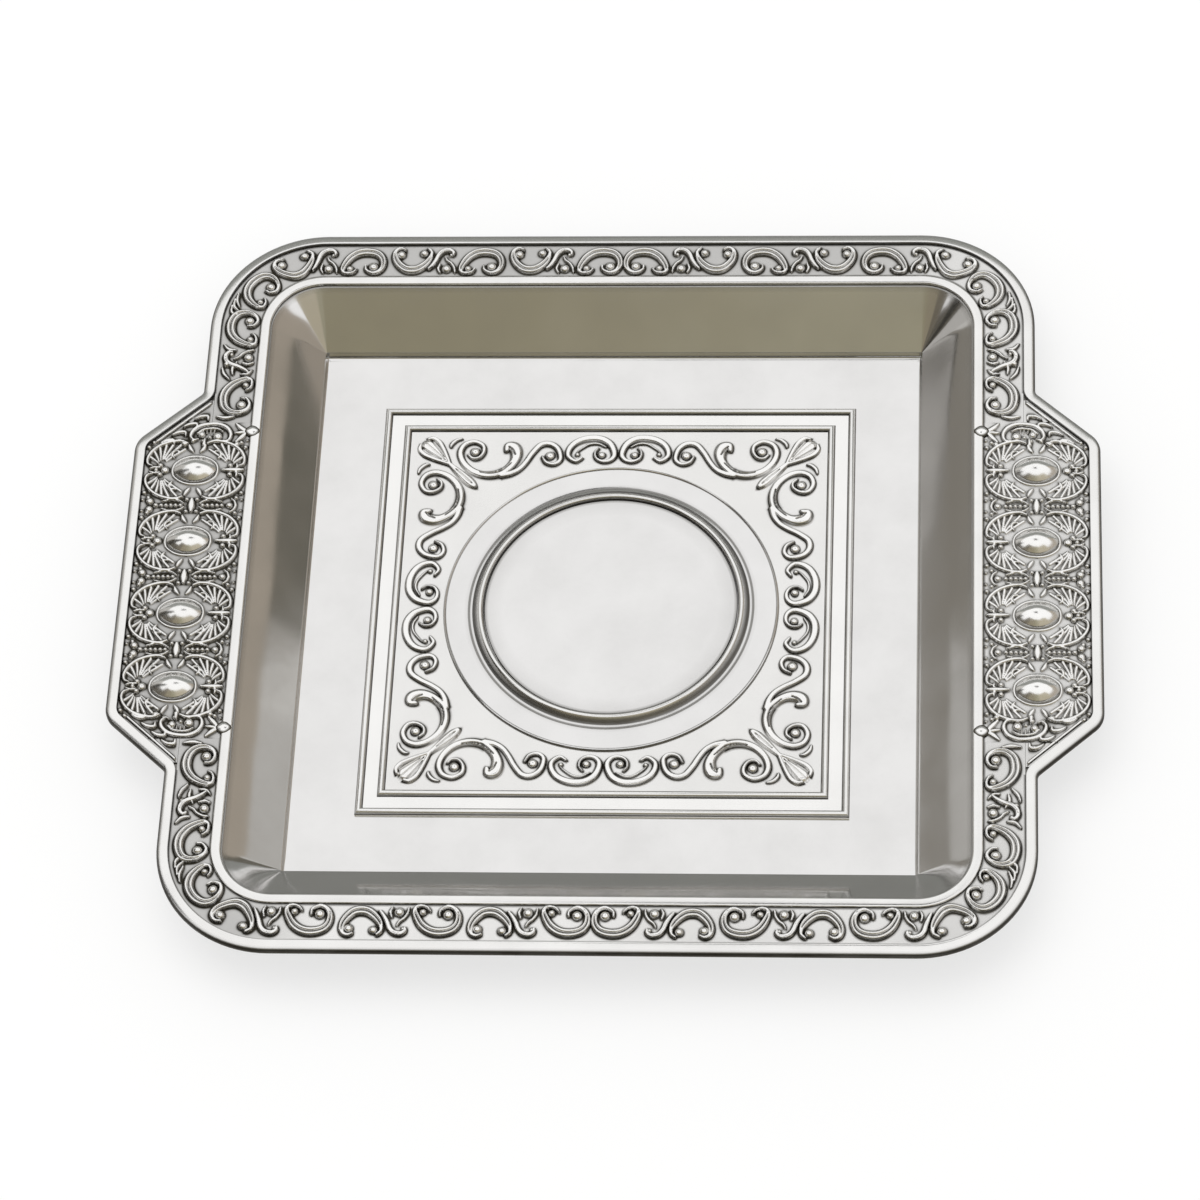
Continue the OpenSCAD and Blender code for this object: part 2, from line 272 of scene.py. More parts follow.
# a motif's groups of ridges, then its grooves and balls
def layMotif(field, x, y, motif, height, shape=ridgeShape):
    s = reliefSet
    for group, share in s["groups"].items():
        for points in motif.get(group, []):
            layStroke(field, x, y, points, height * share, shape)
    for points in motif.get("grooves", []):
        cutGroove(field, x, y, points, height * s["groove"])
    for bx, by, r in motif.get("balls", []):
        layBall(field, x, y, (bx, by), r, min(height * s["ball"], s["ballR"] * r))


# the mean over a square of cells round each one
def blur(field, cells):
    for axis in (0, 1):
        total = np.zeros_like(field)
        pad = [(cells, cells) if a == axis else (0, 0) for a in (0, 1)]
        wide = np.pad(field, pad, mode="edge")
        for k in range(2 * cells + 1):
            total += np.take(wide, np.arange(field.shape[axis]) + k, axis=axis)
        field = total / (2 * cells + 1)
    return field


# painted shade on the slopes, standing for dark reflections there, and tarnish with painted shade in the
# hollows; rubbed tops stay clean
def reliefTarnishAndShade(field, piece):
    s, cell = tarnishAndShadeSet, piece["cell"]
    rise = np.hypot(*np.gradient(field, cell))
    slope = smoothStep((blur(rise, 1) - s["slopeFrom"]) / s["slopeRange"])
    sunk = blur(field, int(s["hollowReach"] / cell)) - field
    hollow = np.clip((sunk - s["hollowFrom"]) / s["hollowRange"], 0, 1)
    rubbed = piece["cleanTop"] * smoothStep(field / (s["rubbedAt"] * field.max()))
    # the slope term is painted shade; the hollow term is tarnish and painted shade
    return (piece["slopeShade"] * slope * (1 - rubbed)
            + piece["hollowDark"] * hollow * (1 - s["rubbedHollow"] * rubbed))


# the ground's tarnish is added where the relief is low, with painted shade making it heavier close to the
# ridges
def withGround(tarnishAndShade, field, cell, ground):
    s = tarnishAndShadeSet
    near = smoothStep(blur(field, int(s["nearReach"] / cell)) / (s["nearFull"] * field.max()))
    low = 1 - s["groundShare"] * smoothStep(field / s["groundTop"])
    return np.clip(tarnishAndShade + ground * (s["groundFar"] + s["groundNear"] * near) * low, 0, 1)


# painted shade beside the wires: along the last column of a strip, and along the first one in those rows that
# end at a wire
def besideWires(tarnishAndShade, cell, firstRows):
    s = tarnishAndShadeSet
    shade = s["wireShade"] * (1 - smoothStep(np.arange(tarnishAndShade.shape[1]) * cell / s["wireReach"]))
    return np.maximum(tarnishAndShade, np.maximum(shade * firstRows[:, None], shade[::-1]))


# a closed body under a grid of top points
def reliefBody(name, top, base, tarnishAndShade, material, flip=False):
    rows, cols = top.shape[:2]
    count = rows * cols
    index = np.arange(count).reshape(rows, cols)
    a, b, c, d = index[:-1, :-1], index[1:, :-1], index[1:, 1:], index[:-1, 1:]
    faces = np.stack((a, b, c, d), -1).reshape(-1, 4).tolist()
    first = top[:, 0].copy()
    last = top[:, -1].copy()
    first[:, 2] = last[:, 2] = base
    lowA, lowB = count + np.arange(rows), count + rows + np.arange(rows)
    for i in range(rows - 1):
        faces.append((index[i, 0], lowA[i], lowA[i + 1], index[i + 1, 0]))
        faces.append((index[i + 1, -1], lowB[i + 1], lowB[i], index[i, -1]))
        faces.append((lowA[i], lowB[i], lowB[i + 1], lowA[i + 1]))
    faces.append(tuple(index[0]) + (lowB[0], lowA[0]))
    faces.append(tuple(index[-1, ::-1]) + (lowA[-1], lowB[-1]))
    if flip:
        faces = [tuple(reversed(f)) for f in faces]
    verts = np.vstack((top.reshape(-1, 3), first, last))
    obj = makeObject(name, verts, faces, material, smoothAngle=60)
    # the lower points of the sides get full dark: painted shade down the sides and under the body
    setTarnishAndShade(obj, np.concatenate((tarnishAndShade.ravel(), np.ones(2 * rows))))
    return obj


# materials

def linear(hexColour):
    out = []
    for i in (1, 3, 5):
        c = int(hexColour[i:i + 2], 16) / 255
        out.append(c / 12.92 if c <= 0.04045 else ((c + 0.055) / 1.055) ** 2.4)
    return (*out, 1.0)


def addNode(tree, kind, settings=None, links=None):
    node = tree.nodes.new(kind)
    for key, value in (settings or {}).items():
        if isinstance(key, str) and hasattr(node, key):
            setattr(node, key, value)
        else:
            node.inputs[key].default_value = value
    for key, source in (links or {}).items():
        tree.links.new(source, node.inputs[key])
    return node


def newMaterial(name):
    material = bpy.data.materials.new(name)
    material.use_nodes = True
    material.node_tree.nodes.clear()
    return material, material.node_tree


plateSet = dict(
    cloudSize=22.0,             # mm, of the patches that a buffing wheel leaves
    lineSize=(0.7, 26.0, 2.0),  # mm in x, y and z; a real wheel's lines are finer and would not show
    lineDepth=0.02, lineStrength=0.06,
    tarnishDull=0.3,            # roughness that the full dark value adds
)


# Silver plate on pressed metal. Buffing leaves fine lines and cloudy patches in the gloss, the sheet is never
# quite flat, and each point's dark value mixes in the dark colour: tarnish in the hollows that the cloth
# doesn't reach, together with painted shade and painted dark reflections.
def silverPlate(name, clean, tarnishAndShade, roughness, haze, cloudy=0.1, wave=0.0, waveSize=0.0):
    s = plateSet
    material, tree = newMaterial(name)
    place = addNode(tree, "ShaderNodeTexCoord").outputs["Object"]
    cloud = addNode(tree, "ShaderNodeTexNoise",
                    {"Scale": 1 / (s["cloudSize"] * mm), "Detail": 4.0, "Roughness": 0.55}, {"Vector": place})
    stretch = addNode(tree, "ShaderNodeMapping", {"Scale": [1 / (size * mm) for size in s["lineSize"]]},
                      {"Vector": place})
    lines = addNode(tree, "ShaderNodeTexNoise", {"Scale": 1.0, "Detail": 3.0}, {"Vector": stretch.outputs[0]})
    gloss = addNode(tree, "ShaderNodeMapRange",
                    {"From Min": 0.3, "From Max": 0.7, "To Min": roughness, "To Max": roughness + haze},
                    {"Value": cloud.outputs["Fac"]})
    tone = addNode(tree, "ShaderNodeMix", {"data_type": "RGBA", 6: linear(clean), 7: linear(tarnishAndShade)})
    tint = addNode(tree, "ShaderNodeMapRange",
                   {"From Min": 0.35, "From Max": 0.8, "To Min": 0.0, "To Max": cloudy},
                   {"Value": cloud.outputs["Fac"]})
    depth = addNode(tree, "ShaderNodeAttribute", {"attribute_name": "tarnishAndShade"})
    amount = addNode(tree, "ShaderNodeMath", {"operation": "ADD", "use_clamp": True},
                     {0: depth.outputs["Fac"], 1: tint.outputs[0]})
    tree.links.new(amount.outputs[0], tone.inputs["Factor"])
    rough = addNode(tree, "ShaderNodeMath",
                    {"operation": "MULTIPLY_ADD", "use_clamp": True, 1: s["tarnishDull"]},
                    {0: depth.outputs["Fac"], 2: gloss.outputs[0]})
    normal = addNode(tree, "ShaderNodeBump", {"Strength": s["lineStrength"], "Distance": s["lineDepth"] * mm},
                     {"Height": lines.outputs["Fac"]}).outputs[0]
    if wave:
        swell = addNode(tree, "ShaderNodeTexNoise", {"Scale": 1 / (waveSize * mm), "Detail": 1.0},
                        {"Vector": place})
        normal = addNode(tree, "ShaderNodeBump", {"Strength": 1.0, "Distance": wave * mm},
                         {"Height": swell.outputs["Fac"], "Normal": normal}).outputs[0]
    shader = addNode(tree, "ShaderNodeBsdfPrincipled", {"Metallic": 1.0},
                     {"Base Color": tone.outputs[2], "Roughness": rough.outputs[0], "Normal": normal})
    addNode(tree, "ShaderNodeOutputMaterial", None, {"Surface": shader.outputs[0]})
    return material


# rolled and buffed: broad soft-edged reflections that swell a little with the sheet
buffedSheet = silverPlate("silver_plate_buffed_sheet", "#eae9e8", "#55524a", 0.09, 0.06,
                          wave=0.3, waveSize=34.0)
# drawn through a die: bright along its top, with painted shade making it black where it meets the sheet
drawnWire = silverPlate("silver_plate_drawn_wire", "#f4f3f1", "#2e2b24", 0.12, 0.06)
# struck between dies: bright ridges over a ground darkened by tarnish and painted shade
struckRelief = silverPlate("silver_plate_struck_relief", "#fcfbf9", "#3a372f", 0.13, 0.06, cloudy=0.04)
# domed and polished by hand: highlights with softer edges
polishedBoss = silverPlate("silver_plate_polished_boss", "#fbfaf8", "#5a564c", 0.17, 0.05, cloudy=0.04)
print("materials made")


# dish pan: one sheet, carried round the square floor from the middle out

panSet = dict(
    foot=(0.35, 2.5),           # a short steep foot where the wall leaves the floor
    crest=(10.7, 11.88),        # where the slope eases, from the foot of the wall
    bends=(1.3, 0.4, 110.0, 1.2),   # radii at the floor, over the foot, at the crest and at the mouth
    bendSteps=6, cornerSteps=24, sideSteps=38,
    edgeRound=0.2,
    mouthShade=0.8, mouthShadeFrom=0.9, mouthShadeRange=1.2,   # painted shade on the wall under the band
    # painted shade over the rim, darkest on its outer edge
    rimShade=0.6, edgeShade=1.0,
)
hair = 1e-6             # mm, for comparing lengths
outlineSteps = 12       # points to a corner where an outline is measured


# where a line out from the floor's edge at y meets the outer outline
def earReach(y):
    outline = roundedLoop(rimCorners(), 0.0, outlineSteps)
    right = outline[(outline[:, 0] > tray["rimHalf"] - hair) | (np.abs(outline[:, 1]) < tray["earRoot"])]
    right = right[(right[:, 0] > 0) & (np.abs(right[:, 1]) <= tray["floorHalf"] + hair)]
    order = np.argsort(right[:, 1])
    return np.interp(y, right[order, 1], right[order, 0]) - tray["floorHalf"], right[order, 1]


# points round the floor's edge, the way out from each and how far the sheet goes that way
def panBase():
    half = tray["floorHalf"]
    base, out, reach = [], [], []
    ys = np.unique(np.concatenate((earReach(0.0)[1], np.linspace(-half, half, panSet["sideSteps"] + 1))))
    ys = ys[np.abs(ys) <= half]
    for side in range(4):
        a = side * math.pi / 2
        turn = np.array(((math.cos(a), -math.sin(a)), (math.sin(a), math.cos(a))))
        for y in ys:
            base.append(turn @ (half, y))
            out.append(turn @ (1, 0))
            reach.append(earReach(y)[0] if side % 2 == 0 else tray["rimR"])
        for k in range(1, panSet["cornerSteps"]):
            b = k / panSet["cornerSteps"] * math.pi / 2
            base.append(turn @ (half, half))
            out.append(turn @ (math.cos(b), math.sin(b)))
            reach.append(tray["rimR"])
    return np.array(base), np.array(out), np.array(reach)


# a bend between two straight runs: points on an arc of radius r at the corner
def bendPoints(corner, before, after, r, steps):
    corner, u, v = np.array(corner), unit(before), unit(after)
    half = math.acos(np.clip(u @ v, -1, 1)) / 2
    length = r * math.tan(half)
    start, end = corner - u * length, corner + v * length
    points = []
    for k in range(steps + 1):
        t = k / steps
        points.append((1 - t) ** 2 * start + 2 * t * (1 - t) * corner + t**2 * end)
    return points


# points on a straight part between two bends; those near its ends keep the bends' shading short
def straightPoints(start, end):
    start, end = np.array(start), np.array(end)
    return [start + (end - start) * t for t in (0.06, 0.5, 0.94)]


def dishPan():
    t, s = tray, panSet
    sheet, rimZ, run = t["sheet"], t["rimZ"], t["wallRun"]
    slope = (run, rimZ - sheet)
    lean = math.atan2(slope[1], slope[0])
    shift = sheet * math.tan(lean / 2)
    base, out, reach = panBase()

    def section(low, high):
        low, high = np.array(low), np.array(high)
        stops = [low, low + s["foot"], low + s["crest"], high]
        ways = [(1, 0)] + [b - a for a, b in zip(stops, stops[1:])] + [(1, 0)]
        points = []
        for k, stop in enumerate(stops):
            bend = bendPoints(stop, ways[k], ways[k + 1], s["bends"][k], s["bendSteps"])
            if k > 1:
                points += straightPoints(points[-1], bend[0])
            points += bend
        return points

    top = section((0, sheet), (run, rimZ))
    under = section((shift, 0), (run + shift, rimZ - sheet))
    e = s["edgeRound"]
    # over the rim and back under it: (share of the way out, set back, height)
    rim = [(0.5, 0, rimZ), (1, -e, rimZ), (1, 0, rimZ - e), (1, 0, rimZ - sheet + e), (1, -e, rimZ - sheet),
           (0.5, 0, rimZ - sheet)]
    loops, tarnishAndShade = [], []

    def addLoop(rho, z, dark=0.0):
        rho = np.broadcast_to(rho, len(base))
        inward = np.minimum(rho, 0)[:, None] * np.sign(base)
        onFlat = np.where(np.abs(base) >= t["floorHalf"] - hair, inward, 0)
        spot = np.where((rho < 0)[:, None], base + onFlat, base + out * rho[:, None])
        loops.append(np.column_stack((spot, np.full(len(base), z))))
        tarnishAndShade.append(np.full(len(base), dark))

    for rho, z in top:
        addLoop(rho, z, smoothStep((rho - run + s["mouthShadeFrom"]) / s["mouthShadeRange"]) * s["mouthShade"])
    mouth = top[-1][0]
    for share, extra, z in rim:
        addLoop(mouth + (reach - mouth) * share + extra, z, s["edgeShade"] if share == 1 else s["rimShade"])
    for rho, z in reversed(under):
        addLoop(rho, z)
    cols = len(base)
    faces = skinLoops(loops)
    faces.append(tuple(reversed(range(cols))))
    lastRow = (len(loops) - 1) * cols
    faces.append(tuple(range(lastRow, lastRow + cols)))
    faces = [tuple(reversed(f)) for f in faces]
    obj = makeObject("dishPan", np.vstack(loops), faces, buffedSheet, smoothAngle=30)
    setTarnishAndShade(obj, np.concatenate(tarnishAndShade))
    return obj


addPiece(dishPan(), ["dish_pan"])
print("dish pan made")

# wires round the mouth and the outer edge

wireSet = dict(
    mouthSetback=0.15, mouthWidth=3.2, mouthHeight=1.3,
    mouthFlat=4.5,              # power of the arch
    mouthFade=(1.1, 0.4),       # how far up its outer and inner side painted shade reaches
    archSteps=20, mouthCornerSteps=28,
    edgeWidth=3.6, edgeHeight=1.7, edgeCornerSteps=24,
    # across the edge wire from outside: (share of the width, share of the height, painted shade)
    edge=[(0, 0, 1), (0, 0.22, 1), (0.03, 0.42, 1), (0.08, 0.57, 0.9), (0.15, 0.67, 0.6), (0.24, 0.74, 0.15),
          (0.4, 0.82, 0), (0.6, 0.9, 0), (0.8, 0.97, 0), (0.9, 1.0, 0), (0.96, 0.96, 0.3), (0.99, 0.8, 0.7),
          (1, 0.5, 0.9), (1, 0, 0.9)],
    # how dark the painted shade at the feet of the wires is
    footShade=0.95,
)


# a low arch from x to x + width; a larger power makes its top flatter
def archProfile(x, width, height, z, power, steps):
    points = []
    for k in range(steps + 1):
        a = math.pi * k / steps
        c, s = math.cos(a), math.sin(a)
        across = math.copysign(abs(c) ** (2 / power), c)
        points.append((x + width / 2 * (1 - across), z + height * abs(s) ** (2 / power)))
    return points


# painted shade along the two feet of an arch, each fading out at a share of its height
def paintedFootShade(profile, outer, inner):
    low = min(z for _, z in profile)
    high = max(z for _, z in profile)
    half = len(profile) / 2
    shares = [(z - low) / (high - low) / (outer if k < half else inner) for k, (_, z) in enumerate(profile)]
    return [float(1 - smoothStep(t)) * wireSet["footShade"] for t in shares]


def mouthWire():
    s = wireSet
    profile = archProfile(-s["mouthSetback"] - s["mouthWidth"], s["mouthWidth"], s["mouthHeight"],
                          tray["rimZ"], s["mouthFlat"], s["archSteps"])
    return moulding("mouthWire", squareCorners(tray["mouthHalf"], tray["wallRun"]), profile,
                    paintedFootShade(profile, *s["mouthFade"]), drawnWire, s["mouthCornerSteps"])


# the edge wire is rolled: steep inside, a top that falls a little outwards, and a round outer edge
def edgeWire():
    s = wireSet
    profile = [(a * s["edgeWidth"], tray["rimZ"] + b * s["edgeHeight"]) for a, b, _ in s["edge"]]
    return moulding("edgeWire", rimCorners(), profile, [t * s["footShade"] for _, _, t in s["edge"]],
                    drawnWire, s["edgeCornerSteps"], smoothAngle=50)


addPiece(mouthWire(), ["opening_wire"])
addPiece(edgeWire(), ["edge_wire"])
print("wires made")

# scroll border: one run of motifs along straight, corner and straight, mirrored to four quarters

borderSet = dict(
    cell=0.2,           # size of a relief cell
    ground=0.6,         # thickness of the stamped strip
    height=1.3,         # of the tallest ridge
    unit=38.0,          # length of in-scroll, bud and out-scroll together
    units=3,            # of those before the corner
    reach=(-2.0, 18.0),     # what a motif covers along the border, from its start
    earEnd=58.0,        # where a strip ends beside an ear
    butt=0.02,          # gap where two strips meet
    # painted shade on the slopes; tarnish with painted shade in the hollows
    slopeShade=0.5, hollowDark=0.75, cleanTop=0.9,
    earTarnishAndShade=dict(right=0.35, left=0.6),     # tarnish on the ground at the ears, with painted shade making the left ear darker
    # tarnish on the ground, the strength of the painted shade along the ridges, and painted shade over all;
    # the amounts differ by side as painted shade, the back and left darkest
    tarnishAndSideShade=dict(front=(0.17, 1.0, 0.0), back=(0.54, 0.6, 0.03),
              right=(0.32, 0.75, 0.0), left=(0.55, 0.8, 0.0)),
    turnFrom=76.0, turnRange=30.0,  # where the front's or back's amounts give way to those of the side
    earFade=14.0,       # and where that gives way to the ear's
)

# motifs in mm: x along the border from the motif's start, y towards the dish;
# the third value is half the width
inScroll = dict(
    main=[[(6.6, 2.3, 0.4), (6.3, 4.1, 0.55), (4.2, 5.2, 0.7), (2.1, 4.4, 0.9), (1.0, 2.2, 1.1),
           (1.3, -0.5, 1.35), (3.0, -2.5, 1.65), (6.0, -3.3, 1.8), (9.0, -2.9, 1.8), (11.5, -1.2, 1.65),
           (13.1, 1.2, 1.4), (13.9, 3.5, 1.05), (13.5, 5.0, 0.7), (11.9, 5.4, 0.6), (10.3, 4.8, 0.5),
           (9.4, 3.6, 0.35)]],
    balls=[(4.1, 2.6, 1.6), (11.6, 3.4, 1.15)],
)
outScroll = dict(
    main=[[(2.2, -4.4, 0.5), (1.1, -3.2, 0.65), (1.1, -1.5, 0.9), (1.9, 0.4, 1.3), (3.4, 2.2, 1.6),
           (5.2, 3.5, 1.8), (7.2, 3.9, 1.85), (9.2, 3.5, 1.8), (11.0, 2.0, 1.65), (12.3, 0.0, 1.4),
           (12.8, -2.1, 1.1), (12.3, -3.8, 0.85), (10.9, -4.5, 0.65), (9.5, -3.9, 0.45)]],
    balls=[(3.4, -2.7, 1.4), (10.7, -2.2, 1.45)],
)
bud = dict(
    main=[[(0.9, -1.9, 0.45), (1.0, -3.1, 0.75), (2.3, -3.9, 0.95), (4.2, -3.5, 1.0), (5.5, -2.1, 0.95),
           (6.4, 0.2, 0.9), (7.5, 2.2, 0.75), (8.6, 3.6, 0.5)]],
    inner=[[(0.1, 4.9, 0.35), (0.4, 3.0, 0.5), (1.4, 1.3, 0.55), (2.7, 0.2, 0.5), (3.4, -1.2, 0.35)],
           [(4.9, 5.0, 0.4), (5.5, 3.4, 0.55), (5.0, 1.6, 0.4)]],
    balls=[(2.9, 3.4, 1.55), (1.6, -2.1, 0.7)],
)
# (motif, start along the border, way it faces)
unitRun = [(inScroll, 0.0, 1), (bud, 15.7, 1), (outScroll, 22.6, 1)]
cornerRun = [(inScroll, 113.0, 1), (inScroll, 129.4, 1), (bud, 145.2, 1), (inScroll, 170.4, -1)]
# leaf blades that fill the corner between the scrolls and the outer wire
cornerBlades = dict(
    inner=[[(124.5 + k * 2.2, -4.6, 0.4), (126.6 + k * 2.2, -3.9, 0.65),
            (128.6 + k * 1.6, -2.2 + k * 0.3, 0.4)] for k in range(3)],
)
# leaves that fill the side between the bud and the last scroll
sideLeaves = dict(
    inner=[[(152.0, -4.7, 0.4), (154.4, -3.9, 0.75), (156.4, -2.2, 0.45)],
           [(149.9, -0.2, 0.4), (152.2, -1.4, 0.7), (154.6, -1.2, 0.4)],
           [(143.0, -4.8, 0.4), (144.8, -3.2, 0.75), (145.2, -0.8, 0.4)],
           [(152.9, 4.9, 0.35), (154.4, 3.6, 0.6), (154.6, 1.4, 0.35)],
           [(170.9, -4.8, 0.45), (171.3, -2.0, 0.85), (170.8, 0.6, 0.45)]],
    balls=[(150.6, -3.4, 1.05), (145.4, 3.6, 0.7)],
)


# how far out from the floor a strip begins and ends
def borderReach():
    inner = boxMm("opening_wire")[1][0] + tray["seam"] - tray["floorHalf"]
    outer = tray["rimR"] - wireSet["edgeWidth"] - tray["seam"]
    return inner, outer


# lays a motif on the rows of the strip that it covers
def placeMotif(field, x, y, motif, at, way, height):
    along = (x[:, 0] - at) * way
    rows = np.nonzero((along > borderSet["reach"][0]) & (along < borderSet["reach"][1]))[0]
    if len(rows):
        cut = slice(rows[0], rows[-1] + 1)
        layMotif(field[cut], (x[cut] - at) * way, y[cut], motif, height, ribbonShape)


# the relief of one strip, and where each of its points lies in the front right quarter
def borderField():
    s = borderSet
    inner, outer = borderReach()
    mid, half = (inner + outer) / 2, (outer - inner) / 2
    side = tray["floorHalf"] - s["butt"] / 2
    corner = mid * math.pi / 2
    total = side + corner + tray["floorHalf"] - s["earEnd"] - s["butt"] / 2
    along = np.linspace(0, total, int(total / s["cell"]) + 1)
    across = np.linspace(-half, half, int(2 * half / s["cell"]) + 1)
    x, y = np.meshgrid(along, across, indexing="ij")
    field = np.zeros_like(x)
    motifs = [(m, at + k * s["unit"], way) for k in range(s["units"]) for m, at, way in unitRun] + cornerRun
    for motif, at, way in motifs:
        placeMotif(field, x, y, motif, at, way, s["height"])
    for motif in (cornerBlades, sideLeaves):
        layMotif(field, x, y, motif, s["height"])
    turn = np.clip((x - side) / mid, 0, math.pi / 2)
    over = np.clip(x - side - corner, 0, None)
    straight = np.minimum(x, side) + s["butt"] / 2
    px = straight + (mid - y) * np.sin(turn)
    py = -tray["floorHalf"] + over - (mid - y) * np.cos(turn)
    return px, py, field


def scrollBorders():
    s = borderSet
    px, py, field = borderField()
    relief = reliefTarnishAndShade(field, s)
    z = tray["rimZ"] + s["ground"] + field
    turned = smoothStep((px - s["turnFrom"]) / s["turnRange"])
    atEar = smoothStep((s["earEnd"] + s["earFade"] - np.abs(py)) / s["earFade"])
    for rowName, sy in (("front", 1), ("back", -1)):
        for sideName, sx in (("right", 1), ("left", -1)):
            top = np.stack((px * sx, py * sy, z), -1)
            # each side's ground tarnish and painted shade, blended round the corner and towards the ear
            tarnishAndSideShade = zip(s["tarnishAndSideShade"][rowName], s["tarnishAndSideShade"][sideName])
            ground, lines, overallShade = (a + (b - a) * turned for a, b in tarnishAndSideShade)
            ground += (s["earTarnishAndShade"][sideName] - ground) * atEar
            dark = withGround(relief * lines + overallShade, field, s["cell"], ground)
            dark = besideWires(dark, s["cell"], np.abs(py[:, 0]) > tray["earRoot"])
            obj = reliefBody(f"scrollBorder{rowName.title()}{sideName.title()}", top, tray["rimZ"], dark,
                             struckRelief, flip=sx * sy < 0)
            addPiece(obj, [f"border_{rowName}_{sideName}"])


scrollBorders()
print("scroll borders made")

# handle panels: four cartouches a side, bead bars between them and a scroll at each end

panelSet = dict(
    cell=0.2, ground=0.6, height=0.95, bossPitch=26.5,
    # painted shade on the slopes; tarnish with painted shade in the hollows
    slopeShade=0.25, hollowDark=0.55, cleanTop=0.7,
    # the ribs of a lobe: where they would meet, where on the way out they start, and their half widths
    fanAt=(11.0, 1.7), fanStart=0.5, fanWidths=(0.35, 0.55, 0.62),
    # (a point on a rib's way, its end at the lobe's edge)
    fanWays=[((7.8, 4.9), (3.9, 7.9)), ((8.3, 6.0), (5.2, 9.6)), ((9.2, 6.5), (7.6, 9.8)),
             ((10.2, 6.4), (9.8, 9.2)), ((11.3, 5.9), (11.7, 8.3)), ((12.3, 4.9), (13.3, 6.9)),
             ((12.8, 3.6), (14.4, 4.9))],
    slant=(51.5, 66.0),     # the slanted edge, from the middle of the ear
    slantLeaves=(2.0, 6.6, 11.2, 15.6),     # leaves along it, from its outer end
    # one of those leaves: (along the edge, in from it, half width)
    slantLeaf=[(-1.6, 0, 0.4), (0.4, 0.5, 0.8), (1.9, 1.8, 0.75), (1.2, 3.0, 0.4)],
    leafIn=2.6, filletIn=1.1, filletWidth=0.55,     # how far in the leaves and a fillet lie
    acrossCells=1.05,       # spacing across the panel, in cells
    cornerEnd=66.6,         # the panel's last row, in the corner beside the rim's border
    cornerGap=0.05, cornerCells=1.5,        # step to those rows, and their spacing in cells
    lastGap=1.6,            # no bead bar beyond this many pitches
    far=99.0,
)

# a cartouche: x and y from the boss's middle, the same in all four quarters
cartouche = dict(
    main=[[(13.6, 1.5, 0.4), (15.0, 2.2, 0.6), (15.3, 4.2, 0.7), (14.2, 6.8, 0.75), (11.8, 9.1, 0.75),
           (8.6, 10.5, 0.75), (5.4, 10.9, 0.7), (3.2, 10.1, 0.5)]],
    inner=[[(1.2, 6.9, 0.45), (2.0, 8.0, 0.85), (2.6, 9.4, 0.45)],
           [(6.9, 4.4, 0.35), (7.7, 5.6, 0.6), (7.2, 7.0, 0.5), (5.8, 7.2, 0.35)]],
    fine=[[(7.2, -0.4, 0.5), (6.6, 2.2, 0.5), (4.7, 4.0, 0.5), (2.4, 5.0, 0.5), (-0.4, 5.3, 0.5)]],
    balls=[(15.3, 8.6, 0.8), (13.8, 10.4, 0.7), (15.6, 11.2, 0.6), (1.6, 11.0, 0.7), (11.0, 1.7, 0.9)],
)
# away from the dish, then towards it
cartoucheOut = dict(
    inner=[[(11.2, 0.9, 0.35), (12.8, 1.1, 0.5), (14.4, 0.6, 0.35)]],
    balls=[(9.5, 0, 1.35), (12.3, 0, 0.75)],
)
cartoucheIn = dict(
    main=[[(8.7, 0, 0.5), (10.8, 0, 0.85), (13.2, 0, 0.95), (15.2, 0, 0.5)]],
    inner=[[(12.6, 0.2, 0.7), (13.2, 1.3, 0.55), (13.0, 2.4, 0.35)]],
)
# between two cartouches, x and y from the point midway
between = dict(
    main=[[(0, -2.2, 0.7), (0, 0, 1.4), (0, 2.2, 0.7)]],
    inner=[[(2.4, 0.6, 0.35), (4.0, 1.7, 0.45), (6.6, 2.0, 0.45), (9.4, 1.4, 0.35)]],
    balls=[(3.5 + k * 1.5, 0, 0.72) for k in range(5)],
)
betweenOut = dict(balls=[(13.2, 1.5, 1.25), (11.2, 0, 0.85)])
betweenIn = dict(
    inner=[[(12.2, 2.5, 0.35), (13.4, 1.5, 0.5), (13.9, 0, 0.6)]],
    balls=[(11.9, 0, 1.1)],
)
# at the ear's end, x away from the dish from the panel's middle and y from the middle of the ear
endScroll = dict(
    main=[[(-8.0, 50.6, 0.4), (-9.6, 51.0, 0.6), (-10.2, 53.2, 0.8), (-9.0, 55.6, 0.9), (-6.4, 57.0, 0.9),
           (-3.4, 57.1, 0.9), (-0.4, 56.4, 0.9), (1.8, 54.6, 0.85), (2.4, 52.4, 0.7), (1.2, 51.0, 0.5),
           (0.0, 51.4, 0.35)],
          [(-2.0, 49.4, 0.9), (-2.1, 50.6, 0.6), (-2.2, 51.6, 0.3)]],
    inner=[[(-7.6, 54.4, 0.35), (-5.8, 55.4, 0.5), (-3.4, 55.5, 0.5), (-1.2, 55.0, 0.5), (0.4, 53.6, 0.35)],
           [(-15.2, 54.2, 0.6), (-13.7, 52.4, 1.0), (-12.0, 50.6, 0.5)],
           [(-15.2, 54.6, 0.6), (-13.4, 55.6, 1.0), (-11.6, 57.3, 0.5)],
           [(-14.8, 54.4, 0.4), (-13.0, 54.0, 0.75), (-11.4, 53.9, 0.4)]],
    fine=[[(-4.8 + k * 1.1, 53.7, 0.28), (-4.9 + k * 1.2, 54.9, 0.3)] for k in range(4)],
    balls=[(-6.1, 52.6, 1.45), (-1.0, 53.2, 1.2), (-3.6, 52.2, 0.6), (4.2, 49.8, 1.1), (-12.4, 49.6, 0.9)],
)


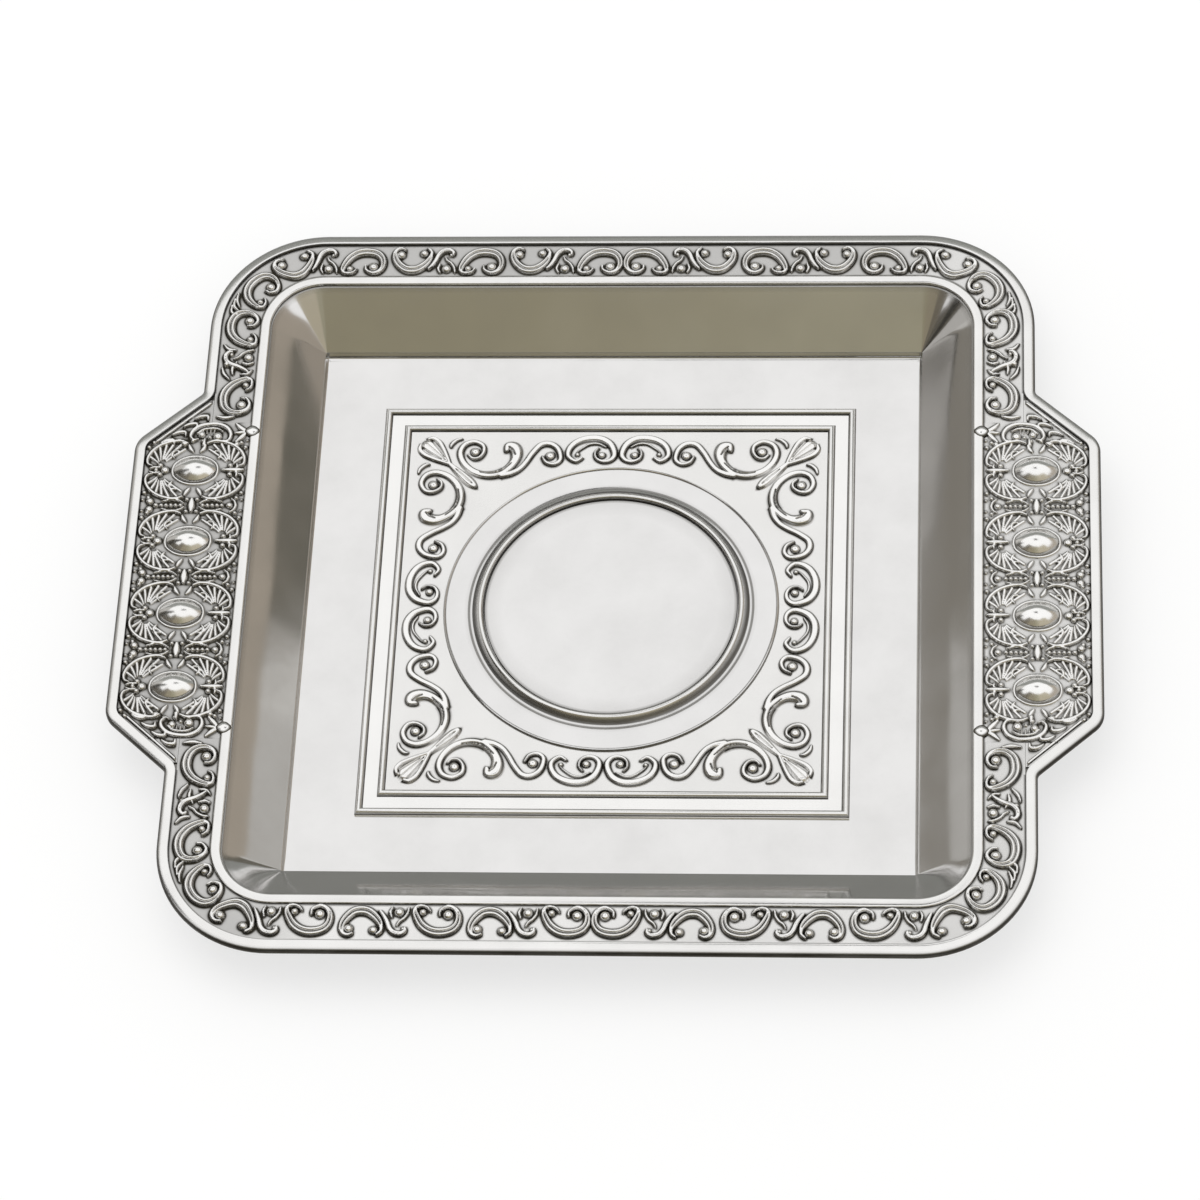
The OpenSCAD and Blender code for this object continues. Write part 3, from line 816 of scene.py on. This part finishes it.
# ribs that fan out in a lobe, from its end on the long axis to its edge
def lobeFan():
    s = panelSet
    root = np.array(s["fanAt"])
    ribs = []
    for middle, end in s["fanWays"]:
        start = root + (np.array(middle) - root) * s["fanStart"]
        ribs.append([(*spot, width) for spot, width in zip((start, middle, end), s["fanWidths"])])
    return dict(fine=ribs)


# along the slanted edge: a fillet and a few broad leaves
def slantLeaves():
    s = panelSet
    edge, end = (np.array((panelReach(y), y)) for y in s["slant"])
    run = unit(end - edge)
    inward = np.array((-run[1], run[0]))
    length = np.hypot(*(end - edge))
    fillet = [(*(edge + inward * s["filletIn"] + run * length * t), s["filletWidth"]) for t in (0, 0.5, 1)]
    leaves = []
    for d in s["slantLeaves"]:
        root = edge + run * d + inward * s["leafIn"]
        leaves.append([(*(root + run * a + inward * b), width) for a, b, width in s["slantLeaf"]])
    return dict(main=leaves, inner=[fillet])


# where the panel ends at the edge wire
def panelReach(y):
    loop = roundedLoop(rimCorners(), wireSet["edgeWidth"] + tray["seam"], outlineSteps)
    right = loop[(loop[:, 0] > tray["floorHalf"]) & (np.abs(loop[:, 1]) < tray["earRoot"] + tray["earRootR"])]
    order = np.argsort(right[:, 1])
    return np.interp(y, right[order, 1], right[order, 0])


# rows run across the ear; past the ends of the borders they begin beside the border instead of the band
def panelGrid():
    s = panelSet
    inner = tray["floorHalf"] + borderReach()[0]
    cornerInner = tray["floorHalf"] + borderReach()[1] + tray["seam"]
    end = borderSet["earEnd"] - borderSet["butt"] / 2
    body = np.linspace(-end, end, int(2 * end / s["cell"]) + 1)
    corner = np.arange(end + s["cornerGap"], s["cornerEnd"], s["cell"] * s["cornerCells"])
    rows = np.concatenate((-corner[::-1], body, corner))
    start = np.where(np.abs(rows) > end + s["cornerGap"] / 2, cornerInner, inner)
    outer = panelReach(rows)
    cols = np.linspace(0, 1, int((outer.max() - inner) / (s["cell"] * s["acrossCells"])) + 1)
    x = start[:, None] + cols[None, :] * (outer - start)[:, None]
    y = np.broadcast_to(rows[:, None], x.shape)
    return x, y, (inner + outer.max()) / 2


def panelField():
    s = panelSet
    x, y, mid = panelGrid()
    field = np.zeros_like(x)
    pitch = s["bossPitch"]
    nearest = (np.clip(np.floor(np.abs(y) / pitch), 0, 1) + 0.5) * pitch
    dx, dy = x - mid, np.abs(np.abs(y) - nearest)
    gap = np.abs(np.abs(y) - np.round(np.abs(y) / pitch) * pitch)
    gap = np.where(np.abs(y) > s["lastGap"] * pitch, s["far"], gap)
    for motif, px, py in (
            (cartouche, np.abs(dx), dy), (lobeFan(), np.abs(dx), dy),
            (cartoucheOut, dx, dy), (cartoucheIn, -dx, dy),
            (between, np.abs(dx), gap), (betweenOut, dx, gap), (betweenIn, -dx, gap),
            (endScroll, dx, np.abs(y)), (slantLeaves(), x, np.abs(y))):
        layMotif(field, px, py, motif, s["height"])
    return x, y, field


def handlePanels():
    s = panelSet
    x, y, field = panelField()
    relief = reliefTarnishAndShade(field, s)
    z = tray["rimZ"] + s["ground"] + field
    for sideName, sx in (("right", 1), ("left", -1)):
        top = np.stack((x * sx, y, z), -1)
        # the ear's ground tarnish, with painted shade making the left darker
        dark = withGround(relief, field, s["cell"], borderSet["earTarnishAndShade"][sideName])
        dark = besideWires(dark, s["cell"], np.abs(y[:, 0]) < borderSet["earEnd"])
        obj = reliefBody(f"handlePanel{sideName.title()}", top, tray["rimZ"], dark, struckRelief, flip=sx > 0)
        addPiece(obj, [f"handle_panel_{sideName}"])


handlePanels()
print("handle panels made")

# domed bosses

bossSet = dict(
    count=4,                # to an ear
    rings=18, steps=56,
    step=0.28,              # upright foot, as a share of the height
    crown=2.0,              # power of the dome over it
    point=0.2,              # how far the oval narrows to its ends
    footShade=(0.6, 0.3),    # painted shade on the rings from the foot up
)


def boss(name, low, high, footShade, point):
    s = bossSet
    turn = np.arange(s["steps"]) / s["steps"] * 2 * math.pi
    at = [(a + b) / 2 for a, b in zip(low, high)]
    length, width, height = (b - a for a, b in zip(low, high))
    loops, tarnishAndShade = [], []
    for k in range(s["rings"]):
        t = 1 - max(k - 1, 0) / (s["rings"] - 1)
        rise = 0 if k == 0 else s["step"] + (1 - s["step"]) * (1 - t ** s["crown"])
        narrow = 1 - point * np.cos(turn) ** 2
        loops.append(np.column_stack((
            at[0] + length / 2 * t * np.cos(turn),
            at[1] + width / 2 * t * np.sin(turn) * narrow,
            np.full(s["steps"], low[2] + height * rise))))
        tarnishAndShade.append(footShade[k] if k < len(footShade) else 0)
    verts = np.vstack(loops + [[(at[0], at[1], high[2])]])
    faces = skinLoops(loops)
    lastRow = (s["rings"] - 1) * s["steps"]
    tip = len(verts) - 1
    faces += [(lastRow + i, lastRow + (i + 1) % s["steps"], tip) for i in range(s["steps"])]
    faces.append(tuple(reversed(range(s["steps"]))))
    obj = makeObject(name, verts, faces, polishedBoss, smoothAngle=50)
    setTarnishAndShade(obj, np.append(np.repeat(tarnishAndShade, s["steps"]), 0))
    return obj


for sideName in ("right", "left"):
    for k in range(1, bossSet["count"] + 1):
        node = f"boss_{sideName}_{k}"
        dome = boss(f"boss{sideName.title()}{k}", *boxMm(node), bossSet["footShade"], bossSet["point"])
        addPiece(dome, [node])

# leaf tips that turn over the band at the mouth, at the ends of each ear
leafTipSet = dict(x=114.1, y=54.4, halfLength=2.1, halfWidth=2.4, rise=0.55, sunk=0.3, point=0.3,
                  # the last values are painted shade that outlines each tip, from its foot up
                  footShade=(1, 1, 1, 1, 0.9, 0.7, 0.5, 0.3))
for sideName, sx in (("Right", 1), ("Left", -1)):
    for endName, sy in (("Front", -1), ("Back", 1)):
        t = leafTipSet
        x, y, z = t["x"] * sx, t["y"] * sy, tray["rimZ"] + wireSet["mouthHeight"]
        tip = boss(f"leafTip{sideName}{endName}", (x - t["halfWidth"], y - t["halfLength"], z - t["sunk"]),
                   (x + t["halfWidth"], y + t["halfLength"], z + t["rise"]), t["footShade"], t["point"])
        addPiece(tip, [])
print("bosses and leaf tips made")

# floor plaque: scroll field in four sides, mitred at the corners

plaqueSet = dict(
    cell=0.2, ground=0.6, height=1.15,
    inCells=1.1,                # spacing from the frame inwards, in cells
    stepR=52.0, stepLap=0.5,    # the medallion's step, and how far the field goes under it
    # painted shade on the slopes; tarnish with painted shade in the hollows and on the ground
    slopeShade=0.75, hollowDark=0.6, groundDark=0.18, cleanTop=0.5,
    reed=2.4, reedPower=1.6, reedSteps=16,
    reedFade=(0.95, 1.1),       # how far up its two sides painted shade reaches
    edgeRound=0.15, flatDark=0.05,
)

# the right half of the front side: x from the middle, y out from the middle
plaqueMotif = dict(
    main=[
        [(6.3, 59.2, 0.4), (7.3, 57.6, 0.5), (6.9, 55.4, 0.6), (5.0, 54.2, 0.75), (2.7, 54.5, 0.9),
         (1.3, 56.2, 1.1), (1.5, 58.6, 1.25), (3.0, 61.3, 1.4),
         (6.0, 63.0, 1.45), (10.0, 63.0, 1.45), (13.5, 61.5, 1.35), (15.5, 59.0, 1.2), (15.7, 56.2, 1.0),
         (13.4, 54.3, 0.8), (11.4, 55.4, 0.55)],
        [(24.0, 56.0, 0.5), (22.6, 53.8, 0.75), (20.0, 53.2, 0.85), (18.2, 55.0, 0.95), (19.0, 58.8, 1.1),
         (21.5, 60.9, 1.2), (24.5, 60.6, 1.2), (27.0, 57.6, 1.15), (29.0, 54.0, 1.1), (31.0, 51.3, 1.1),
         (33.6, 49.7, 1.2), (36.5, 49.1, 1.4)],
        [(35.4, 58.4, 0.9), (34.9, 60.2, 1.5), (33.0, 59.6, 2.2), (32.2, 57.2, 2.2), (32.6, 54.6, 1.8),
         (34.4, 51.8, 1.7), (37.0, 49.9, 1.65), (40.0, 49.1, 1.6), (43.2, 49.4, 1.5), (46.4, 51.0, 1.4),
         (49.0, 54.0, 1.3), (50.0, 57.5, 1.2), (48.8, 60.5, 1.1), (45.8, 61.7, 1.0), (43.0, 60.3, 0.9),
         (42.6, 57.8, 0.8), (44.0, 55.6, 0.7), (46.0, 55.3, 0.6), (47.4, 56.6, 0.5)],
    ],
    inner=[
        [(4.0, 59.7, 0.35), (6.5, 61.0, 0.45), (9.2, 60.8, 0.45), (11.8, 59.0, 0.4), (13.0, 57.8, 0.3)],
        [(49.8, 62.9, 0.45), (51.4, 62.4, 0.75), (52.8, 61.0, 0.75), (53.2, 59.6, 0.4)],
    ],
    grooves=[
        [(32.5, 56.6, 0.25), (33.3, 58.3, 0.35), (34.6, 59.6, 0.25)],
        [(33.6, 53.4, 0.2), (36.6, 50.5, 0.28), (40.0, 49.5, 0.28), (43.4, 49.9, 0.2)],
    ],
    balls=[(5.2, 56.7, 1.3), (12.9, 56.9, 0.8), (21.5, 56.5, 1.6), (45.3, 57.9, 1.6)],
)
# on the corner's diagonal: x along it from the middle, y across it
cornerLeaf = dict(
    main=[
        [(63.6, 0, 1.2), (65.6, 0, 1.9), (68.6, 0, 1.8), (72.0, 0, 1.3), (76.0, 0, 0.7)],
        [(75.6, 0.3, 0.6), (78.4, 1.5, 0.8), (81.2, 2.6, 0.9), (83.8, 3.3, 1.0), (86.0, 3.0, 0.9),
         (87.0, 1.7, 0.7)],
    ],
    inner=[[(76.0, 0, 0.5), (79.0, 0, 1.6), (82.5, 0, 2.7), (85.0, 0, 2.9)]],
    grooves=[
        [(64.8, 0, 0.25), (68.0, 0, 0.4), (72.0, 0, 0.25)],
        [(77.5, 0, 0.25), (82.0, 0, 0.4), (86.8, 0, 0.3)],
        [(78.6, 0.6, 0.2), (82.0, 1.4, 0.4), (85.8, 1.9, 0.35)],
    ],
)


def plaqueRelief(x, y):
    field = np.zeros_like(x)
    layMotif(field, x, y, plaqueMotif, plaqueSet["height"])
    layMotif(field, (x + y) / math.sqrt(2), np.abs(y - x) / math.sqrt(2), cornerLeaf, plaqueSet["height"])
    return field


# one side of the field: columns across the front, from the frame in to the circle or the mitre
def plaqueSide(fieldHalf):
    s = plaqueSet
    xs = np.linspace(-fieldHalf, fieldHalf, int(2 * fieldHalf / s["cell"]) + 1)
    inner = np.where(np.abs(xs) < s["stepR"] / math.sqrt(2),
                     np.sqrt(np.clip((s["stepR"] - s["stepLap"]) ** 2 - xs**2, 0, None)), np.abs(xs))
    inner = np.maximum(inner, np.abs(xs))
    rows = int((fieldHalf - inner.min()) / (s["cell"] * s["inCells"])) + 1
    share = np.linspace(0, 1, rows)
    depth = fieldHalf - share[None, :] * (fieldHalf - inner[:, None])
    x = np.broadcast_to(xs[:, None], depth.shape)
    field = plaqueRelief(np.abs(x), depth)
    return x, -depth, field


def plaqueField():
    s = plaqueSet
    base = boxMm("floor_plaque")[0][2]
    fieldHalf = boxMm("plaque_inner_frame")[1][0] - s["reed"]
    x, y, field = plaqueSide(fieldHalf)
    tarnishAndShade = withGround(reliefTarnishAndShade(field, s), field, s["cell"], s["groundDark"])
    z = base + s["ground"] + field
    for k, sideName in enumerate(("Front", "Right", "Back", "Left")):
        a = k * math.pi / 2
        px, py = x * math.cos(a) - y * math.sin(a), x * math.sin(a) + y * math.cos(a)
        obj = reliefBody(f"plaqueField{sideName}", np.stack((px, py, z), -1), base, tarnishAndShade, struckRelief)
        addPiece(obj, ["floor_plaque"])
    return base, fieldHalf


plaqueBase, plaqueFieldHalf = plaqueField()


def plaqueFrames():
    s = plaqueSet
    plate, reed = plaqueBase + s["ground"], s["reed"]
    outer = boxMm("plaque_outer_frame")[1][0]
    for name, half, node in (("outerReed", outer, "plaque_outer_frame"),
                             ("innerReed", plaqueFieldHalf + reed, "plaque_inner_frame")):
        profile = archProfile(0, reed, reed / 2, plate, s["reedPower"], s["reedSteps"])
        obj = moulding(name, squareCorners(half, 0), profile, paintedFootShade(profile, *s["reedFade"]), drawnWire,
                       smoothAngle=40)
        addPiece(obj, [node])
    # the plain flat between the two reeds and under them
    e, inset = s["edgeRound"], outer - plaqueFieldHalf
    flat = [(e, plaqueBase), (0, plaqueBase + e), (0, plate), (inset, plate), (inset, plaqueBase)]
    obj = moulding("plaqueFlat", squareCorners(outer, 0), flat, [s["flatDark"]] * len(flat), struckRelief,
                   smoothAngle=30)
    addPiece(obj, ["floor_plaque"])


plaqueFrames()
print("plaque made")

# medallion: step, ring and plain disc

medallionSet = dict(
    steps=200,
    stepInner=36.0,             # hidden under the disc
    lineR=44.0, lineDepth=0.12,     # a fine groove round the ring
    cove=0.12,                  # hollow of the flat between groove and bead
    beadWidth=0.9, beadHeight=0.45,
    gap=0.15,                   # between disc and ring
    ringStep=0.2,               # mm between the points across the ring
    discCrown=0.3,
    # across the ring from its inner edge: (share of the width, share of the height, painted shade)
    ring=[(0, 0, 0.9), (0.02, 0.5, 0.7), (0.14, 0.88, 0.15), (0.3, 1.0, 0), (0.47, 0.88, 0.1),
          (0.64, 0.55, 0.5), (0.78, 0.25, 0.75), (0.92, 0.08, 0.8), (1.0, 0, 0.6)],
)


def medallion():
    s = medallionSet
    low, high = boxMm("medallion_step")
    r, z0, z1 = high[0], low[2], high[2]
    line, groove, cove = s["lineR"], z1 - s["lineDepth"], s["cove"]
    bead, rise = s["beadWidth"], s["beadHeight"]
    # (radius, height, painted shade)
    step = [(s["stepInner"], z1, 0), (line - 0.5, z1, 0.1), (line - 0.25, groove, 0.7),
            (line + 0.25, groove, 0.7), (line + 0.5, z1, 0.1), (line + 1.6, z1 - cove * 0.7, 0),
            (line + 3.2, z1 - cove, 0), (r - bead - 1.6, z1 - cove * 0.7, 0), (r - bead - 0.25, z1 - 0.05, 0),
            (r - bead, z1, 0.15), (r - bead * 0.8, z1 + rise * 0.7, 0), (r - bead * 0.5, z1 + rise, 0),
            (r - bead * 0.2, z1 + rise * 0.7, 0.2), (r, z1 - 0.05, 0.8), (r, z0, 0.9)]
    obj = lathe("medallionStep", [p[:2] for p in step], [p[2] for p in step], buffedSheet, s["steps"])
    addPiece(obj, ["medallion_step"])
    ringLow, ringHigh = boxMm("medallion_ring")
    discLow, discHigh = boxMm("medallion_disc")
    inner = discHigh[0] + s["gap"]
    width, height = ringHigh[0] - inner, ringHigh[2] - ringLow[2]
    profile = [(inner + width * a, ringLow[2] + height * b) for a, b, _ in s["ring"]]
    profile = [(a, b) for a, b, _ in smoothPath([(*q, 0) for q in profile], s["ringStep"])]
    dark = np.interp([q[0] for q in profile], [inner + width * a for a, _, _ in s["ring"]],
                     [t for _, _, t in s["ring"]])
    obj = lathe("medallionRing", profile[::-1], dark[::-1], drawnWire, s["steps"], closed=True,
                smoothAngle=60)
    addPiece(obj, ["medallion_ring"])
    r, z0, z1, crown = discHigh[0], discLow[2], discHigh[2], s["discCrown"]
    # (radius, height, painted shade) again, darkest at the disc's edge
    disc = [(0.6, z1 + crown, 0), (r * 0.3, z1 + crown * 0.9, 0), (r * 0.6, z1 + crown * 0.6, 0),
            (r * 0.85, z1 + crown * 0.2, 0), (r - 1.2, z1, 0.1), (r - 0.2, z1, 0.6), (r, z1 - 0.2, 0.8),
            (r, z0, 0.9)]
    obj = lathe("medallionDisc", [p[:2] for p in disc], [p[2] for p in disc], buffedSheet, s["steps"])
    addPiece(obj, ["medallion_disc"])


medallion()
print("medallion made")

# stage: pale floor, soft light, grey cards round the horizon and the camera

stageSet = dict(
    floorSize=8.0, floorColour="#f6f6f5",
    floorZ=-0.05,       # mm, just clear of the tray's underside
    floorWhite=0.6,     # share of plain white in what the camera and the metal see of the floor
    fill=0.92,
    cardR=3.0, cardCols=25, cardRows=5,
    lampPower=14, lampSize=2.2, lampAt=(-0.4, 0.6, 2.2),
)
# (azimuth from, to, elevation from, to, colour), azimuth from +X, all in degrees
ringCards = [
    (-150, -30, 2, 26, "#4a4840"),
    (-150, -130, 26, 58, "#6e685c"),
    (-130, -106, 26, 58, "#8f8774"),
    (-106, -97, 26, 58, "#938d77"),
    (-97, -93.5, 26, 58, "#98927d"),
    (-93.5, -80, 26, 58, "#9f9a85"),
    (-80, -30, 26, 56, "#b4ac98"),
    (-30, 48, 2, 14.8, "#67645b"),
    (-30, 48, 14.8, 40, "#a59c8f"),
    (48, 132, 3, 36, "#8e8f8b"),
    (132, 210, 2, 14, "#827e76"),
    (132, 158, 14, 40, "#c4c2be"),
    (158, 210, 14, 40, "#5c5850"),
]
# flat cards beside the tray: corner, then its two edges, in metres
nearCards = [
    ((0.45, -0.6, 0.0), (0, 0.9, 0), (0, 0, 0.185), "#b9b7b3"),
    ((0.45, 0.3, 0.0), (0, 0.035, 0), (0, 0, 0.185), "#d4d2ce"),
    ((-0.45, 0.1, 0.08), (0, 0.235, 0), (0, 0, 0.3), "#b5b3af"),
    ((-0.42, -0.05, 0.12), (0, 0.1, 0), (0, 0, 0.43), "#3a3833"),
    ((-0.08, 0.16, 1.15), (0.26, 0, 0), (0, 0.24, 0), "#2c2a26"),
]


# 1 for what the camera sees straight, in metal or through glass
def seenAs(tree):
    path = addNode(tree, "ShaderNodeLightPath")
    seen = path.outputs["Is Camera Ray"]
    for kind in ("Is Glossy Ray", "Is Transmission Ray"):
        seen = addNode(tree, "ShaderNodeMath", {"operation": "MAXIMUM"},
                       {0: seen, 1: path.outputs[kind]}).outputs[0]
    return seen


# matte white paper; part of what is seen of it is plain white, so that only a light shadow shows
def stageFloor():
    s = stageSet
    material, tree = newMaterial("matte_paper")
    paper = addNode(tree, "ShaderNodeBsdfDiffuse", {"Color": linear(s["floorColour"])})
    share = addNode(tree, "ShaderNodeMath", {"operation": "MULTIPLY", 1: s["floorWhite"]}, {0: seenAs(tree)})
    plain = addNode(tree, "ShaderNodeEmission", {"Color": linear("#ffffff"), "Strength": 1.0})
    mix = addNode(tree, "ShaderNodeMixShader", None,
                  {0: share.outputs[0], 1: paper.outputs[0], 2: plain.outputs[0]})
    addNode(tree, "ShaderNodeOutputMaterial", None, {"Surface": mix.outputs[0]})
    half = s["floorSize"] / 2 / mm
    verts = [(x, y, s["floorZ"]) for x, y, _ in squareCorners(half, 0)]
    obj = makeObject("stageFloor", verts, [(0, 1, 2, 3)], material)


# a card glows in its own colour; only the metal sees it
def addCard(name, verts, faces, colour):
    material, tree = newMaterial(name)
    glow = addNode(tree, "ShaderNodeEmission", {"Color": linear(colour), "Strength": 1.0})
    addNode(tree, "ShaderNodeOutputMaterial", None, {"Surface": glow.outputs[0]})
    obj = makeObject(name, np.asarray(verts) / mm, faces, material)
    obj.visible_camera = obj.visible_diffuse = obj.visible_shadow = False


def ringCard(name, a0, a1, e0, e1, colour):
    r, cols, rows = (stageSet[key] for key in ("cardR", "cardCols", "cardRows"))
    verts = [(r * math.cos(e) * math.cos(a), r * math.cos(e) * math.sin(a), r * math.sin(e))
             for e in np.radians(np.linspace(e0, e1, rows)) for a in np.radians(np.linspace(a0, a1, cols))]
    faces = [(j * cols + i, j * cols + i + 1, (j + 1) * cols + i + 1, (j + 1) * cols + i)
             for j in range(rows - 1) for i in range(cols - 1)]
    addCard(name, verts, faces, colour)


stageFloor()
for k, card in enumerate(ringCards):
    ringCard(f"ringCard{k + 1}", *card)
for k, (corner, edgeA, edgeB, colour) in enumerate(nearCards):
    c, u, v = Vector(corner), Vector(edgeA), Vector(edgeB)
    addCard(f"nearCard{k + 1}", [tuple(q) for q in (c, c + u, c + u + v, c + v)], [(0, 1, 2, 3)], colour)

world = bpy.data.worlds.new("studio")
world.use_nodes = True
tree = world.node_tree
tree.nodes.clear()
fill = addNode(tree, "ShaderNodeBackground", {"Color": linear("#ffffff"), "Strength": stageSet["fill"]})
white = addNode(tree, "ShaderNodeBackground", {"Color": linear("#ffffff"), "Strength": 1.0})
mix = addNode(tree, "ShaderNodeMixShader", None,
              {0: seenAs(tree), 1: fill.outputs[0], 2: white.outputs[0]})
addNode(tree, "ShaderNodeOutputWorld", None, {"Surface": mix.outputs[0]})
bpy.context.scene.world = world

lampData = bpy.data.lights.new("softbox", "AREA")
lampData.energy = stageSet["lampPower"]
lampData.size = stageSet["lampSize"]
lamp = bpy.data.objects.new("softbox", lampData)
lamp.location = stageSet["lampAt"]
lamp.rotation_euler = (-lamp.location).to_track_quat("-Z", "Y").to_euler()
lamp.visible_glossy = False
bpy.context.scene.collection.objects.link(lamp)

# camera: where the photo was taken from, worked out from the tray's corners in it

cameraSet = dict(
    at=(108.3, -819.3, 1280.2),                     # mm
    pitch=-0.9953, yaw=0.1352, roll=-0.1108,        # radians
    focalPx=4925.3, framePx=1200, sensor=36.0,
)


def placeCamera():
    s = cameraSet
    cp, sp = math.cos(s["pitch"]), math.sin(s["pitch"])
    forward = Vector((-math.sin(s["yaw"]) * cp, math.cos(s["yaw"]) * cp, sp))
    right = Vector((math.cos(s["yaw"]), math.sin(s["yaw"]), 0))
    up = right.cross(forward)
    c, r = math.cos(s["roll"]), math.sin(s["roll"])
    xAxis, yAxis = c * right + r * up, c * up - r * right
    data = bpy.data.cameras.new("photoCamera")
    data.sensor_width = s["sensor"]
    data.lens = s["sensor"] * s["focalPx"] / s["framePx"]
    camera = bpy.data.objects.new("photoCamera", data)
    matrix = Matrix((xAxis, yAxis, -forward)).transposed().to_4x4()
    matrix.translation = Vector(s["at"]) * mm
    camera.matrix_world = matrix
    bpy.context.scene.collection.objects.link(camera)
    bpy.context.scene.camera = camera


placeCamera()
bpy.context.scene.view_settings.view_transform = "Standard"
print("stage and camera set")
